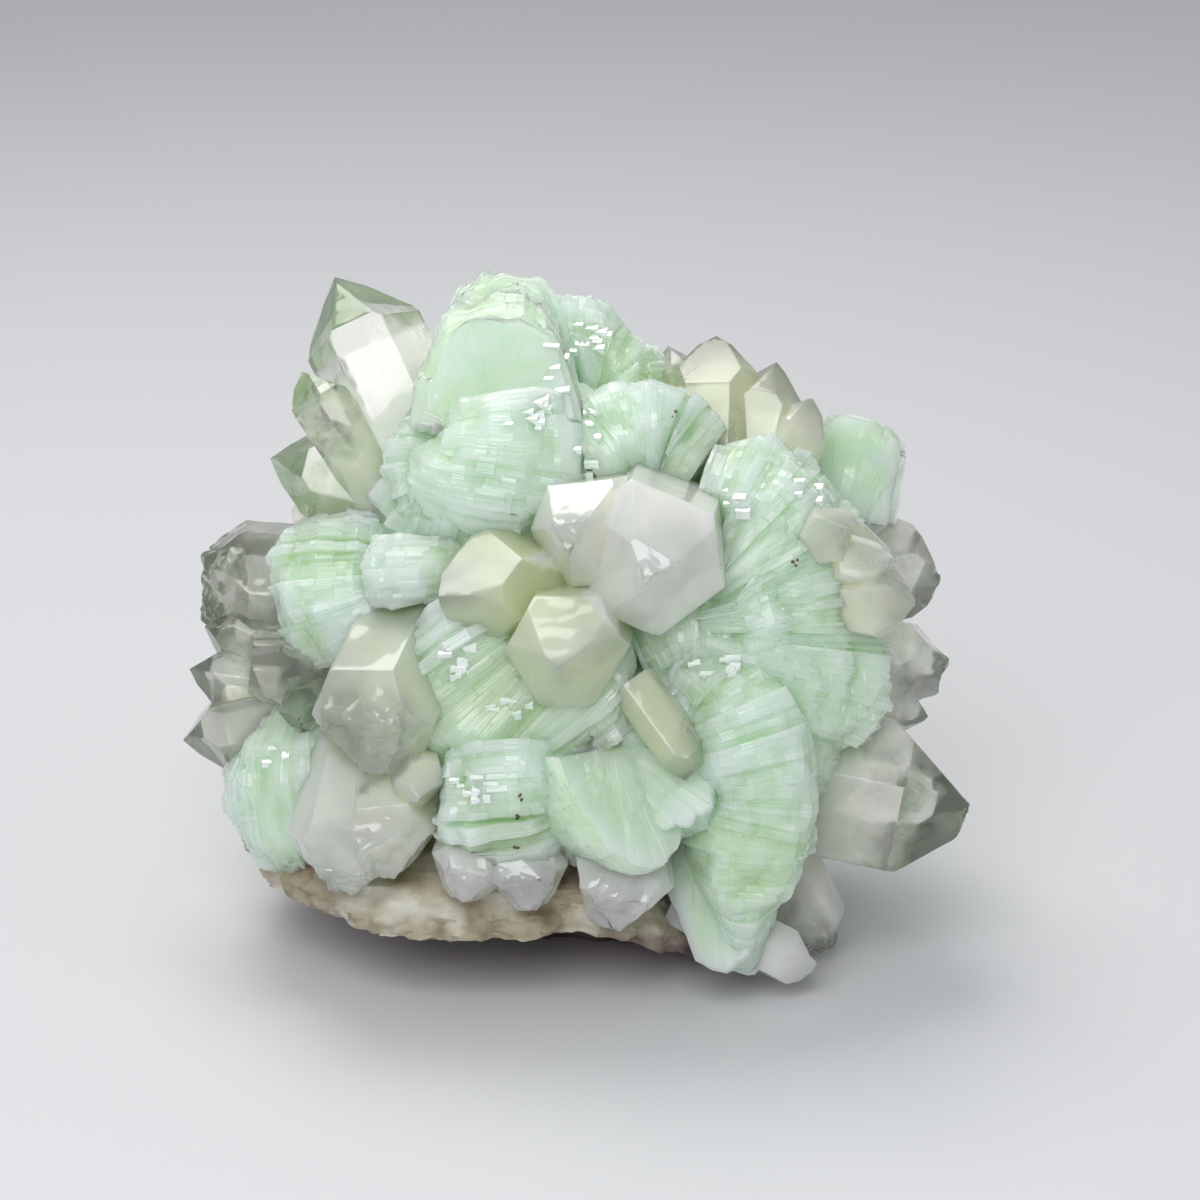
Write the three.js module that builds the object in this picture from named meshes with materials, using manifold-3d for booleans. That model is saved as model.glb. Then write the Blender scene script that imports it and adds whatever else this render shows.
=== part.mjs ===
// Prehnite with quartz: a loose cluster of pale green prehnite fans and quartz points on a thin piece
// of rough matrix. Millimetres, +Z up, with the side of the best crystals facing -Y.
import * as THREE from 'three';
import { ConvexGeometry } from 'three/addons/geometries/ConvexGeometry.js';
import { mergeVertices } from 'three/addons/utils/BufferGeometryUtils.js';
import Module from 'manifold-3d';

const wasm = await Module();
wasm.setup();

// Driving dimensions. Places on the cluster are given as seen from the front: millimetres right of
// and above the middle of the view, and millimetres nearer to the eye than the aim point.
const eyeTilt = THREE.MathUtils.degToRad(20);
const eyeDistance = 300;
const aimPoint = new THREE.Vector3(2, 0, 28.5);
const grownGap = 0.3;
const mergeDistance = 1e-3;
const quartzTipSlope = THREE.MathUtils.degToRad(51.8);
const quartzWidthUneven = 0.08;
const quartzSmallFaceSetBack = 0.09;
const quartzTipUneven = 0.03;
const plateThickness = 5.4;
const backPlateThickness = 9;
const plateOverlap = 0.02;
const plateReachUneven = 0.045;
const plateWidthUneven = 0.07;
const fewestPlates = 3;
const rimPoints = 5;
const rimStart = 0.1;
const lowestPlate = 0.3;
const lumpDetail = 2;
const fanNarrowing = 0.34;
const fanSquareness = 0.7;
const backSeed = 40;
const matrixSteps = 38;
const matrixTopHeight = 13.1;
const matrixRimHeight = 6.6;
const matrixRimFall = 4.4;
const matrixFallRange = [0, 12];
const matrixRimUneven = 0.35;
const matrixGrain = 0.022;
const matrixWaves = [{ around: 3, size: 0.03, start: 1 }, { around: 7, size: 0.02, start: 0 }];
const standingShift = [0, -2.6, 0];
const colours = {
  prehnite: 0xbedac0,
  milkyQuartz: 0xe6e0c4,
  yellowQuartz: 0xd6d29a,
  clearQuartz: 0xc9c8c0,
  whiteQuartz: 0xe2dfd4,
  matrix: 0xa89c88,
};
const roughnesses = { matrix: 0.9, prehnite: 0.35, quartz: 0.12 };

// The directions right, up and towards the eye, as seen from the front
const toRight = new THREE.Vector3(1, 0, 0);
const toTop = new THREE.Vector3(0, Math.sin(eyeTilt), Math.cos(eyeTilt));
const toEye = new THREE.Vector3(0, -Math.cos(eyeTilt), Math.sin(eyeTilt));

function facing([right, up, near]) {
  return toRight.clone().multiplyScalar(right)
    .addScaledVector(toTop, up)
    .addScaledVector(toEye, near);
}

function seen([right, up, near]) {
  const nearer = (eyeDistance - near) / eyeDistance;
  return aimPoint.clone().add(facing([right * nearer, up * nearer, near]));
}

// A repeatable number from -1 to 1 for each pair of whole numbers
function unevenness(row, column) {
  const wave = Math.sin(row * 127.1 + column * 311.7) * 43758.5453;
  return 2 * (wave - Math.floor(wave)) - 1;
}

// Closed solids, their joins and their cuts
function toSolid(geometry) {
  geometry.deleteAttribute('normal');
  geometry.deleteAttribute('uv');
  const merged = mergeVertices(geometry, mergeDistance);
  const mesh = new wasm.Mesh({
    numProp: 3,
    vertProperties: new Float32Array(merged.attributes.position.array),
    triVerts: new Uint32Array(merged.index.array),
  });
  return new wasm.Manifold(mesh);
}

function toGeometry(solid) {
  const mesh = solid.getMesh();
  const geometry = new THREE.BufferGeometry();
  geometry.setAttribute('position', new THREE.BufferAttribute(mesh.vertProperties, 3));
  geometry.setIndex(new THREE.BufferAttribute(mesh.triVerts, 1));
  return geometry;
}

function joined(solids) {
  return solids.reduce((whole, solid) => whole.add(solid));
}

function largestPiece(solid) {
  const pieces = solid.decompose();
  return pieces.reduce((best, piece) => (piece.volume() > best.volume() ? piece : best));
}

// The corners of the convex solid behind a list of planes { normal, distance }
function convexSolid(planes) {
  const corners = [];
  const inside = 1e-5;
  for (let i = 0; i < planes.length; i += 1) {
    for (let j = i + 1; j < planes.length; j += 1) {
      for (let k = j + 1; k < planes.length; k += 1) {
        const corner = meetingPoint(planes[i], planes[j], planes[k]);
        if (corner && planes.every((p) => p.normal.dot(corner) < p.distance + inside)) {
          corners.push(corner);
        }
      }
    }
  }
  return toSolid(new ConvexGeometry(corners));
}

function meetingPoint(a, b, c) {
  const nearlyParallel = 1e-6;
  const bc = new THREE.Vector3().crossVectors(b.normal, c.normal);
  const size = a.normal.dot(bc);
  if (Math.abs(size) < nearlyParallel) return null;
  const ca = new THREE.Vector3().crossVectors(c.normal, a.normal);
  const ab = new THREE.Vector3().crossVectors(a.normal, b.normal);
  return bc.multiplyScalar(a.distance)
    .addScaledVector(ca, b.distance)
    .addScaledVector(ab, c.distance)
    .divideScalar(size);
}

// A quartz crystal: six prism faces around the axis from root to tip, and six tip faces of which
// every second one is larger. A blunt crystal loses its point to a broken face.
function quartz({ root, tip, width, turn = 0, blunt = 0, lean = [0, 0, 0] }, grow = 0) {
  const start = seen(root);
  const end = seen(tip);
  const axis = end.clone().sub(start).normalize();
  const side = new THREE.Vector3().crossVectors(axis, toTop).normalize();
  const across = new THREE.Vector3().crossVectors(axis, side);
  const planes = [{ normal: axis.clone().negate(), distance: -axis.dot(start) + grow }];
  const seed = Math.round(10 * (root[0] + 31 * root[1] + tip[0]));
  for (let face = 0; face < 6; face += 1) {
    const angle = THREE.MathUtils.degToRad(turn + 60 * face);
    const out = side.clone().multiplyScalar(Math.cos(angle)).addScaledVector(across, Math.sin(angle));
    const half = (width / 2) * (1 + quartzWidthUneven * unevenness(seed, face));
    planes.push({ normal: out, distance: out.dot(end) + half + grow });
    const tipFace = axis.clone().multiplyScalar(Math.cos(quartzTipSlope))
      .addScaledVector(out, Math.sin(quartzTipSlope));
    const uneven = quartzTipUneven * (1 + unevenness(face, seed));
    const setBack = width * ((face % 2) * quartzSmallFaceSetBack + uneven);
    planes.push({ normal: tipFace, distance: tipFace.dot(end) + setBack + grow });
  }
  if (blunt > 0) {
    const broken = axis.clone().add(facing(lean)).normalize();
    planes.push({ normal: broken, distance: broken.dot(end) - blunt + grow });
  }
  return convexSolid(planes);
}

// A prehnite ridge: plates that stand on edge side by side along a smooth line through the given crests.
// Each plate reaches down from its crest by its depth and has a rounded rim. Neighbours differ in reach
// and width, which leaves a step between them.
function prehniteRidge({ plates, squareness, thickness }, seed) {
  const crests = new THREE.CatmullRomCurve3(plates.map(({ crest }) => crest), false, 'catmullrom');
  const outs = new THREE.CatmullRomCurve3(plates.map(({ out }) => out), false, 'catmullrom');
  const sizes = new THREE.CatmullRomCurve3(
    plates.map(({ depth, width }) => new THREE.Vector3(depth, width, 0)), false, 'catmullrom');
  const count = Math.max(fewestPlates, Math.round(crests.getLength() / thickness));
  const solids = [];
  for (let plate = 0; plate < count; plate += 1) {
    const reachShare = 1 + plateReachUneven * unevenness(seed, plate);
    const widthShare = 1 + plateWidthUneven * unevenness(plate, seed);
    const corners = [];
    for (const edge of [plate, Math.min(plate + 1 + plateOverlap, count)]) {
      const along = edge / count;
      const out = outs.getPoint(along).normalize();
      const aside = new THREE.Vector3().crossVectors(crests.getTangent(along), out).normalize();
      const { x: depth, y: width } = sizes.getPoint(along);
      const base = crests.getPoint(along).addScaledVector(out, -depth);
      for (let k = 0; k < rimPoints; k += 1) {
        const round = (Math.PI * (k + rimStart)) / (rimPoints - 1 + 2 * rimStart);
        const sideways = -Math.sign(Math.cos(round)) * Math.abs(Math.cos(round)) ** squareness;
        const corner = base.clone()
          .addScaledVector(aside, 0.5 * width * widthShare * sideways)
          .addScaledVector(out, depth * reachShare * Math.sin(round) ** squareness);
        corner.z = Math.max(corner.z, lowestPlate);
        corners.push(corner);
      }
    }
    solids.push(toSolid(new ConvexGeometry(corners)));
  }
  return joined(solids);
}

// The plates of a back fan stand round its hub line, like the pages of an open book
function fanPlates({ hub, reach, line, radius, width, spread, books }) {
  const out = facing(reach).normalize();
  const axis = facing(line).addScaledVector(out, -facing(line).dot(out)).normalize();
  return Array.from({ length: books + 1 }, (_, page) => {
    const turned = THREE.MathUtils.degToRad(spread) * (page / books - 0.5);
    const pageOut = out.clone().applyAxisAngle(axis, turned);
    return {
      crest: seen(hub).addScaledVector(pageOut, radius),
      out: pageOut,
      depth: radius,
      width: width * (1 - fanNarrowing * (1 - Math.cos(turned))),
    };
  });
}

// A rounded lump of massive prehnite that the ridges stand on
function prehniteLump({ centre, half }) {
  const geometry = new THREE.IcosahedronGeometry(1, lumpDetail);
  geometry.scale(...half);
  geometry.translate(...centre);
  return toSolid(geometry);
}

// The matrix: a rough lens of rock with an undercut rim. Its underside is flat where it rests. The
// rings go up from the resting face, and rise is the share of the rim's height that a ring is at.
const matrixRings = [
  { middle: [-1, 5], half: [16.5, 7.2], spin: -19, rise: 0, lift: 0 },
  { middle: [-3, 4], half: [18.5, 11], spin: -10, rise: 0.55, lift: 0 },
  { middle: [-5.4, 0.8], half: [21.4, 17.6], spin: 0, rise: 1, lift: 0 },
  { middle: [-5.4, 0.8], half: [22.0, 18.1], spin: 0, rise: 1, lift: 1.8 },
  { middle: [-5.4, 0.8], half: [20.4, 16.6], spin: 0, rise: 1, lift: 3.6 },
  { middle: [-5, 0.8], half: [13, 11], spin: 0, rise: 1, lift: 5.4 },
];

function matrixSolid(grow = 0) {
  const points = [];
  matrixRings.forEach(({ middle, half, spin, rise, lift }, level) => {
    const turned = THREE.MathUtils.degToRad(spin);
    const grownUp = [-grow, 0, 0][level] ?? grow;
    for (let step = 0; step < matrixSteps; step += 1) {
      const angle = (2 * Math.PI * step) / matrixSteps;
      const waves = matrixWaves.map(({ around, size, start }) => size * Math.sin(around * angle + start));
      const rough = waves.reduce((sum, wave) => sum + wave, 1 + matrixGrain * unevenness(step, level));
      const wide = (half[0] * rough + grow) * Math.cos(angle);
      const deep = (half[1] * rough + grow) * Math.sin(angle);
      const x = middle[0] + wide * Math.cos(turned) - deep * Math.sin(turned);
      const y = middle[1] + wide * Math.sin(turned) + deep * Math.cos(turned);
      const fall = matrixRimFall * THREE.MathUtils.smoothstep(x, ...matrixFallRange);
      const rim = matrixRimHeight - fall + matrixRimUneven * unevenness(level, step);
      points.push(x, y, rise * rim + lift + grownUp);
    }
  });
  const bottom = points.length / 3;
  points.push(...matrixRings[0].middle, -grow);
  const top = bottom + 1;
  points.push(...matrixRings.at(-1).middle, matrixTopHeight + grow);
  const faces = [];
  const lastRing = (matrixRings.length - 1) * matrixSteps;
  for (let step = 0; step < matrixSteps; step += 1) {
    const next = (step + 1) % matrixSteps;
    faces.push(bottom, next, step, lastRing + step, lastRing + next, top);
    for (let low = 0; low < lastRing; low += matrixSteps) {
      const high = low + matrixSteps;
      faces.push(low + step, low + next, high + next);
      faces.push(low + step, high + next, high + step);
    }
  }
  const geometry = new THREE.BufferGeometry();
  geometry.setAttribute('position', new THREE.Float32BufferAttribute(points, 3));
  geometry.setIndex(faces);
  return toSolid(geometry);
}

// Quartz crystals, in groups of crystals that have grown into one another
const quartzGroups = {
  quartz_upper_left: {
    colour: colours.milkyQuartz,
    crystals: [
      { tip: [-21, 25.4, -1], root: [-13.6, 9.5, 1], width: 8.6, turn: 12 },
      { tip: [-23.7, 18, 3], root: [-16, 6, 3], width: 4.6, turn: 30 },
      { tip: [-26, 11.2, 1], root: [-15.5, 8.6, 1.5], width: 6.6, turn: 5 },
    ],
  },
  quartz_left: {
    colour: colours.clearQuartz,
    crystals: [
      { tip: [-34, 1.8, -4], root: [-20, 0.8, -5], width: 10, turn: 20, blunt: 2.4 },
      { tip: [-31.6, -2.2, -1], root: [-24, -5, 0], width: 3.4 },
      { tip: [-32.6, -5.6, -1], root: [-23, -7, 0], width: 4.2, turn: 25 },
      { tip: [-33.1, -11.2, -2], root: [-22, -8.6, 0], width: 5.6, turn: 10 },
      { tip: [-27.6, -3.6, 6], root: [-22, -7.4, -2], width: 6.2, turn: 15 },
      { tip: [-24.2, -9.4, 8], root: [-22, -7, 0], width: 3.6, turn: 40 },
    ],
  },
  quartz_centre: {
    colour: colours.yellowQuartz,
    crystals: [
      { tip: [3.6, 2.4, 20.5], root: [4.8, 5.2, 6], width: 10.8, turn: 7, blunt: 0.5, lean: [0, 0.3, 0] },
      { tip: [-2.8, 5, 17.5], root: [2.5, 6.4, 5], width: 8.2, turn: 35, blunt: 0.6 },
      { tip: [-3, -5.2, 19.5], root: [-1.6, -1.4, 5], width: 8, turn: 30 },
      { tip: [-12.6, 0.6, 15], root: [-2, 1.2, 6], width: 8.2 },
    ],
  },
  quartz_slim: {
    colour: colours.yellowQuartz,
    crystals: [
      { tip: [8, -14, 14.2], root: [2.6, -6.6, 12.5], width: 3.4, turn: 30, blunt: 0.6 },
    ],
  },
  quartz_lower_left: {
    colour: colours.whiteQuartz,
    crystals: [
      { tip: [-19.6, -13, 16.2], root: [-14.6, -2.4, 4], width: 8.8, turn: 30, blunt: 2.2 },
      { tip: [-21.2, -24, 11.5], root: [-18.6, -12, 6], width: 7.8, turn: 10, blunt: 1.6 },
      { tip: [-17, -22.4, 13], root: [-17.2, -11.5, 5], width: 7,
        turn: 40, blunt: 1.8, lean: [0.3, 0, 0.5] },
      { tip: [-14.4, -15.6, 14.5], root: [-15.4, -10, 5], width: 3.8, turn: 20 },
    ],
  },
  quartz_upper_right: {
    colour: colours.yellowQuartz,
    crystals: [
      { tip: [5.5, 20.2, -3], root: [8, 12, -2], width: 4.4, turn: 30 },
      { tip: [9.4, 20.9, -1], root: [9, 9, 2], width: 7.4, turn: 28 },
      { tip: [14, 18.9, 0], root: [11.5, 9, 1], width: 5.8, turn: 30 },
      { tip: [16.9, 15.8, 1.5], root: [12.5, 8, 2], width: 4.8, turn: 10 },
    ],
  },
  quartz_right_yellow: {
    colour: colours.yellowQuartz,
    crystals: [
      { tip: [19.6, 5.8, 14], root: [16, 4, 6], width: 4.2, turn: 30 },
      { tip: [23.4, 3.4, 12.5], root: [16, 3, 6], width: 5.4 },
      { tip: [25, -0.3, 12], root: [16.5, 0.6, 6], width: 6.2, turn: 20 },
    ],
  },
  quartz_right_clear: {
    colour: colours.clearQuartz,
    crystals: [
      { tip: [27.4, 0.4, -7], root: [16, 5, -8], width: 8.4, turn: 15, blunt: 0.8 },
      { tip: [28.2, -5.6, -4], root: [17, -3.4, -6], width: 6.6, turn: 30, blunt: 0.8 },
      { tip: [26.2, -9.2, -5], root: [18, -7, -7], width: 3.4, turn: 10 },
    ],
  },
  quartz_big_right: {
    colour: colours.clearQuartz,
    crystals: [
      { tip: [29.8, -16.7, 2], root: [12.5, -13.4, 1], width: 11.2, turn: 28, blunt: 0.4 },
      { tip: [18.2, -28.9, -2], root: [13, -18, -3], width: 6.4, turn: 15, blunt: 1.2 },
    ],
  },
  quartz_foot: {
    colour: colours.whiteQuartz,
    crystals: [
      { tip: [17.2, -29.6, 4.5], root: [6, -24, 3], width: 4.4, turn: 20, blunt: 0.3 },
    ],
  },
  quartz_front: {
    colour: colours.whiteQuartz,
    crystals: [
      { tip: [-11, -23.2, 13.5], root: [-9, -16.4, 4], width: 5.4, turn: 10, blunt: 1.2 },
      { tip: [-6.2, -24.2, 13.5], root: [-5, -16.4, 4], width: 5.6, turn: 30, blunt: 1.2 },
      { tip: [1.8, -26.4, 13], root: [0.6, -16.4, 4], width: 8.4, turn: 20, blunt: 1.6 },
    ],
  },
  quartz_back_top: {
    colour: colours.milkyQuartz,
    crystals: [
      { tip: [-6, 19, -20], root: [-3, 8, -9], width: 7.6, turn: 20 },
      { tip: [1.5, 20.5, -17], root: [0.5, 9, -10], width: 5.6, turn: 35 },
    ],
  },
  quartz_back_left: {
    colour: colours.milkyQuartz,
    crystals: [
      { tip: [-24, 7, -21], root: [-12, 3.6, -10], width: 8.2, turn: 10 },
      { tip: [-25.5, -0.6, -18.5], root: [-13, 0.2, -11], width: 6, turn: 30 },
    ],
  },
  quartz_back_right: {
    colour: colours.clearQuartz,
    crystals: [
      { tip: [18.5, -2, -22], root: [7, -1, -10], width: 8.4, turn: 25 },
      { tip: [20, -9.4, -19], root: [8.5, -6, -10], width: 5.6, turn: 5 },
    ],
  },
  quartz_back_low: {
    colour: colours.yellowQuartz,
    crystals: [
      { tip: [-7, -3, -27], root: [-4, -2, -11], width: 7.8, turn: 15 },
      { tip: [-1, -6, -25], root: [-1, -3, -11], width: 5.4, turn: 40 },
    ],
  },
};

// Prehnite fans: those that face the front, then those on the top, the sides and the back
const prehniteRidges = {
  crownBack: {
    squareness: 0.85,
    plates: [
      { crest: [-8.4, 22.6, 5.5], out: [-0.03, 0.9, -0.4], depth: 11, width: 12.5 },
      { crest: [-8.2, 24.6, 2.5], out: [0, 0.9, -0.4], depth: 13, width: 12.5 },
      { crest: [-7.4, 26.2, -2], out: [0, 0.95, -0.35], depth: 15, width: 11 },
      { crest: [-8, 26, -7], out: [0, 0.95, -0.4], depth: 15, width: 11 },
      { crest: [-8.6, 23.6, -12], out: [0, 0.85, -0.5], depth: 14, width: 12 },
    ],
  },
  crownFace: {
    squareness: 0.7,
    plates: [
      { crest: [-7.8, 16.6, 9.6], out: [0, 0.5, 0.86], depth: 9, width: 12.5 },
      { crest: [-7.6, 13, 11.4], out: [0, 0.1, 0.98], depth: 9, width: 14 },
      { crest: [-8.2, 8.4, 11.4], out: [0, -0.35, 0.93], depth: 9, width: 15 },
      { crest: [-8.8, 4.4, 9], out: [0, -0.85, 0.5], depth: 9, width: 14 },
    ],
  },
  crownLeft: {
    squareness: 0.8,
    plates: [
      { crest: [-13.6, 16.4, 6], out: [-0.6, 0.6, 0.5], depth: 7, width: 6 },
      { crest: [-16.2, 11.6, 7.4], out: [-0.8, 0.1, 0.6], depth: 7.5, width: 8 },
      { crest: [-15.6, 6.6, 8], out: [-0.6, -0.6, 0.5], depth: 7, width: 8 },
    ],
  },
  crownRight: {
    squareness: 0.6,
    plates: [
      { crest: [-4.2, 23, -0.5], out: [-0.1, 0.9, 0.4], depth: 9, width: 7 },
      { crest: [-0.4, 23, -0.5], out: [0.05, 0.9, 0.4], depth: 9, width: 8.5 },
      { crest: [3.6, 20.2, -0.5], out: [0.4, 0.8, 0.4], depth: 8.5, width: 9 },
      { crest: [6, 16.4, 1], out: [0.6, 0.6, 0.4], depth: 7, width: 8 },
    ],
  },
  lowCrest: {
    squareness: 0.7,
    plates: [
      { crest: [-2.4, 13.4, 9.4], out: [-0.3, 0.5, 0.8], depth: 7, width: 7.5 },
      { crest: [1.6, 15.4, 9], out: [0, 0.6, 0.8], depth: 8, width: 9 },
      { crest: [5.8, 14.8, 8], out: [0.1, 0.6, 0.8], depth: 8, width: 9 },
      { crest: [9.2, 12.4, 8], out: [0.3, 0.5, 0.8], depth: 7, width: 8 },
    ],
  },
  bigRightFan: {
    squareness: 0.75,
    plates: [
      { crest: [12.4, 13.2, 6], out: [0.2, 0.9, 0.25], depth: 11, width: 13 },
      { crest: [18, 9.6, 6.4], out: [0.7, 0.65, 0.2], depth: 13, width: 16 },
      { crest: [21.6, 3.2, 6], out: [0.95, 0.25, 0.2], depth: 15.5, width: 18 },
      { crest: [23.2, -3.4, 6], out: [1, -0.05, 0.2], depth: 16, width: 18 },
      { crest: [22.2, -10, 6], out: [0.9, -0.4, 0.2], depth: 16, width: 17 },
      { crest: [18.4, -16.6, 4.4], out: [0.6, -0.75, 0.2], depth: 14, width: 14 },
    ],
  },
  upperRightBlades: {
    squareness: 0.65,
    plates: [
      { crest: [8.6, 10.8, 8.6], out: [-0.1, 0.5, 0.85], depth: 6, width: 8 },
      { crest: [12.2, 10.2, 9.8], out: [0.1, 0.5, 0.85], depth: 6, width: 9 },
      { crest: [15.6, 8.2, 10], out: [0.3, 0.4, 0.85], depth: 6, width: 9 },
      { crest: [17.8, 4.6, 9.6], out: [0.4, 0.2, 0.85], depth: 6, width: 8 },
    ],
  },
  rightSlope: {
    squareness: 0.7,
    plates: [
      { crest: [10.8, 5.8, 10.2], out: [0.2, 0.6, 0.75], depth: 8, width: 11 },
      { crest: [15.2, 3.4, 11], out: [0.5, 0.4, 0.8], depth: 9, width: 13 },
      { crest: [17.2, -1.6, 11.2], out: [0.6, 0.05, 0.8], depth: 9, width: 14 },
      { crest: [17.2, -7.2, 10.4], out: [0.6, -0.3, 0.8], depth: 9, width: 13 },
      { crest: [15.6, -12.4, 9], out: [0.5, -0.6, 0.7], depth: 8, width: 11 },
    ],
  },
  crownFoot: {
    squareness: 0.7,
    plates: [
      { crest: [-17.6, 9.6, 6], out: [-0.5, 0.2, 0.8], depth: 7, width: 7 },
      { crest: [-15.2, 6.8, 8.6], out: [-0.3, -0.3, 0.9], depth: 7.5, width: 8 },
      { crest: [-11.4, 5.2, 9.6], out: [-0.1, -0.6, 0.8], depth: 7.5, width: 8.5 },
      { crest: [-7, 3.4, 9.6], out: [0, -0.6, 0.8], depth: 7, width: 8 },
    ],
  },
  leftShingles: {
    squareness: 0.7,
    plates: [
      { crest: [-17.4, -1.8, 8.6], out: [-0.2, 0.4, 0.9], depth: 7, width: 8 },
      { crest: [-15.2, -5.2, 10.6], out: [-0.1, 0.1, 1], depth: 8, width: 9 },
      { crest: [-13.6, -9, 11.8], out: [-0.1, -0.1, 1], depth: 8, width: 9 },
      { crest: [-12.4, -12.8, 11.4], out: [-0.1, -0.4, 0.9], depth: 8, width: 8 },
    ],
  },
  heart: {
    squareness: 0.65,
    plates: [
      { crest: [1.6, -7.2, 11.6], out: [-0.1, 0.2, 1], depth: 8, width: 11 },
      { crest: [4.4, -10.6, 12.2], out: [0, 0, 1], depth: 8, width: 11 },
      { crest: [6.6, -14.2, 11.8], out: [0.1, -0.3, 0.95], depth: 8, width: 10 },
    ],
  },
  caterpillar: {
    squareness: 0.72,
    plates: [
      { crest: [7.4, -4.2, 12], out: [-0.2, 0.7, 0.7], depth: 7.5, width: 7 },
      { crest: [10.6, -6.8, 14.6], out: [0, 0.2, 1], depth: 8.5, width: 9 },
      { crest: [12.6, -11.4, 15.2], out: [0.1, 0, 1], depth: 8.5, width: 10 },
      { crest: [13.4, -16, 14.2], out: [0.1, -0.1, 1], depth: 8, width: 9 },
      { crest: [12.6, -20.6, 13.4], out: [0.1, -0.1, 1], depth: 8, width: 9.5 },
      { crest: [12.2, -24.6, 11.4], out: [0.1, -0.4, 0.9], depth: 8, width: 8.5 },
      { crest: [11.6, -27.4, 8], out: [0.05, -0.8, 0.6], depth: 8, width: 6 },
    ],
  },
  footSheet: {
    squareness: 0.95,
    plates: [
      { crest: [10, -29.2, 8.4], out: [0.12, -1, 0.1], depth: 12, width: 8 },
      { crest: [10.8, -29.6, 5.4], out: [0.15, -1, -0.1], depth: 12, width: 9 },
      { crest: [10.4, -28.2, 2.6], out: [0.1, -1, -0.2], depth: 11, width: 9 },
    ],
  },
  shingles: {
    squareness: 0.62,
    plates: [
      { crest: [-12.4, -0.2, 11.4], out: [-0.2, 0.5, 0.8], depth: 8, width: 12 },
      { crest: [-10.6, -3.4, 13.4], out: [-0.1, 0.25, 0.95], depth: 9, width: 15 },
      { crest: [-8, -6.8, 14.2], out: [0, 0, 1], depth: 9, width: 18 },
      { crest: [-4, -10.6, 13.8], out: [0.1, -0.4, 0.9], depth: 9, width: 17 },
      { crest: [-1.6, -13.6, 12.6], out: [0.2, -0.6, 0.8], depth: 9, width: 14 },
    ],
  },
  frontBlock: {
    squareness: 0.65,
    plates: [
      { crest: [-8.4, -11.4, 13.6], out: [-0.1, 0.3, 0.95], depth: 8, width: 9 },
      { crest: [-8.4, -15.2, 15.4], out: [-0.1, 0, 1], depth: 9, width: 10 },
      { crest: [-8, -19.2, 14.4], out: [0, -0.3, 0.95], depth: 9, width: 10.5 },
      { crest: [-7.4, -21.6, 11.6], out: [0, -0.8, 0.6], depth: 8, width: 9.5 },
    ],
  },
  lowLobes: {
    squareness: 0.8,
    plates: [
      { crest: [4, -21.4, 14.6], out: [0.3, -0.95, 0.25], depth: 11.5, width: 9.5 },
      { crest: [2.6, -21.8, 12], out: [0.2, -0.95, 0.1], depth: 12, width: 12.5 },
      { crest: [0.6, -21.6, 8], out: [0.1, -0.95, 0], depth: 12, width: 14 },
    ],
  },
  rightLobes: {
    squareness: 0.8,
    plates: [
      { crest: [8.2, -16.4, 13.4], out: [0.8, -0.55, 0.25], depth: 10, width: 8.5 },
      { crest: [8.8, -17, 10.6], out: [0.8, -0.6, 0.1], depth: 11, width: 10.5 },
      { crest: [8.4, -17.8, 7], out: [0.7, -0.7, 0], depth: 11, width: 12 },
    ],
  },
  leftComb: {
    squareness: 0.6,
    plates: [
      { crest: [-14.6, 5.2, 9.6], out: [-0.2, 0.5, 0.8], depth: 6.5, width: 8 },
      { crest: [-15, 2.6, 11], out: [-0.25, 0, 0.9], depth: 7, width: 9 },
      { crest: [-14.8, -0.4, 10.6], out: [-0.2, -0.5, 0.8], depth: 6.5, width: 8 },
    ],
  },
  leftLobes: {
    squareness: 0.75,
    plates: [
      { crest: [-21, 7, 4.4], out: [-0.2, 0.7, 0.7], depth: 7, width: 11 },
      { crest: [-22, 3.4, 7.4], out: [-0.2, 0.2, 0.95], depth: 7.5, width: 12 },
      { crest: [-21.6, -0.8, 8], out: [-0.2, -0.1, 1], depth: 7.5, width: 11 },
      { crest: [-19.4, -4.8, 7.4], out: [-0.1, -0.5, 0.85], depth: 7, width: 10 },
    ],
  },
  lowerLeftFan: {
    squareness: 0.8,
    plates: [
      { crest: [-29.6, -15.4, -1], out: [-0.95, -0.1, 0.2], depth: 9, width: 13 },
      { crest: [-28.2, -15.8, 4], out: [-0.6, -0.1, 0.8], depth: 9, width: 15 },
      { crest: [-24.6, -15.8, 7.4], out: [-0.2, -0.1, 1], depth: 9, width: 14.5 },
      { crest: [-20.6, -15.4, 8], out: [0.2, -0.1, 1], depth: 9, width: 13 },
    ],
  },
  rightTab: {
    squareness: 0.4,
    plates: [
      { crest: [20.9, 14.3, -1], out: [0.2, 0.97, 0.1], depth: 13, width: 7.6 },
      { crest: [20.9, 14.6, -4], out: [0.2, 0.97, 0], depth: 13, width: 8.2 },
      { crest: [20.9, 14.2, -6.6], out: [0.2, 0.97, -0.1], depth: 13, width: 7.6 },
    ],
  },
  middleBlades: {
    squareness: 0.7,
    plates: [
      { crest: [2.6, -3.6, 11], out: [-0.1, 0.1, 1], depth: 8, width: 9 },
      { crest: [5.6, -2.2, 12.2], out: [0.1, 0.1, 0.95], depth: 8, width: 10 },
      { crest: [9, -1.8, 12.4], out: [0.3, 0, 0.95], depth: 8, width: 10 },
      { crest: [12.2, -2.6, 12.4], out: [0.3, 0, 0.95], depth: 8, width: 9 },
    ],
  },
};
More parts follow.
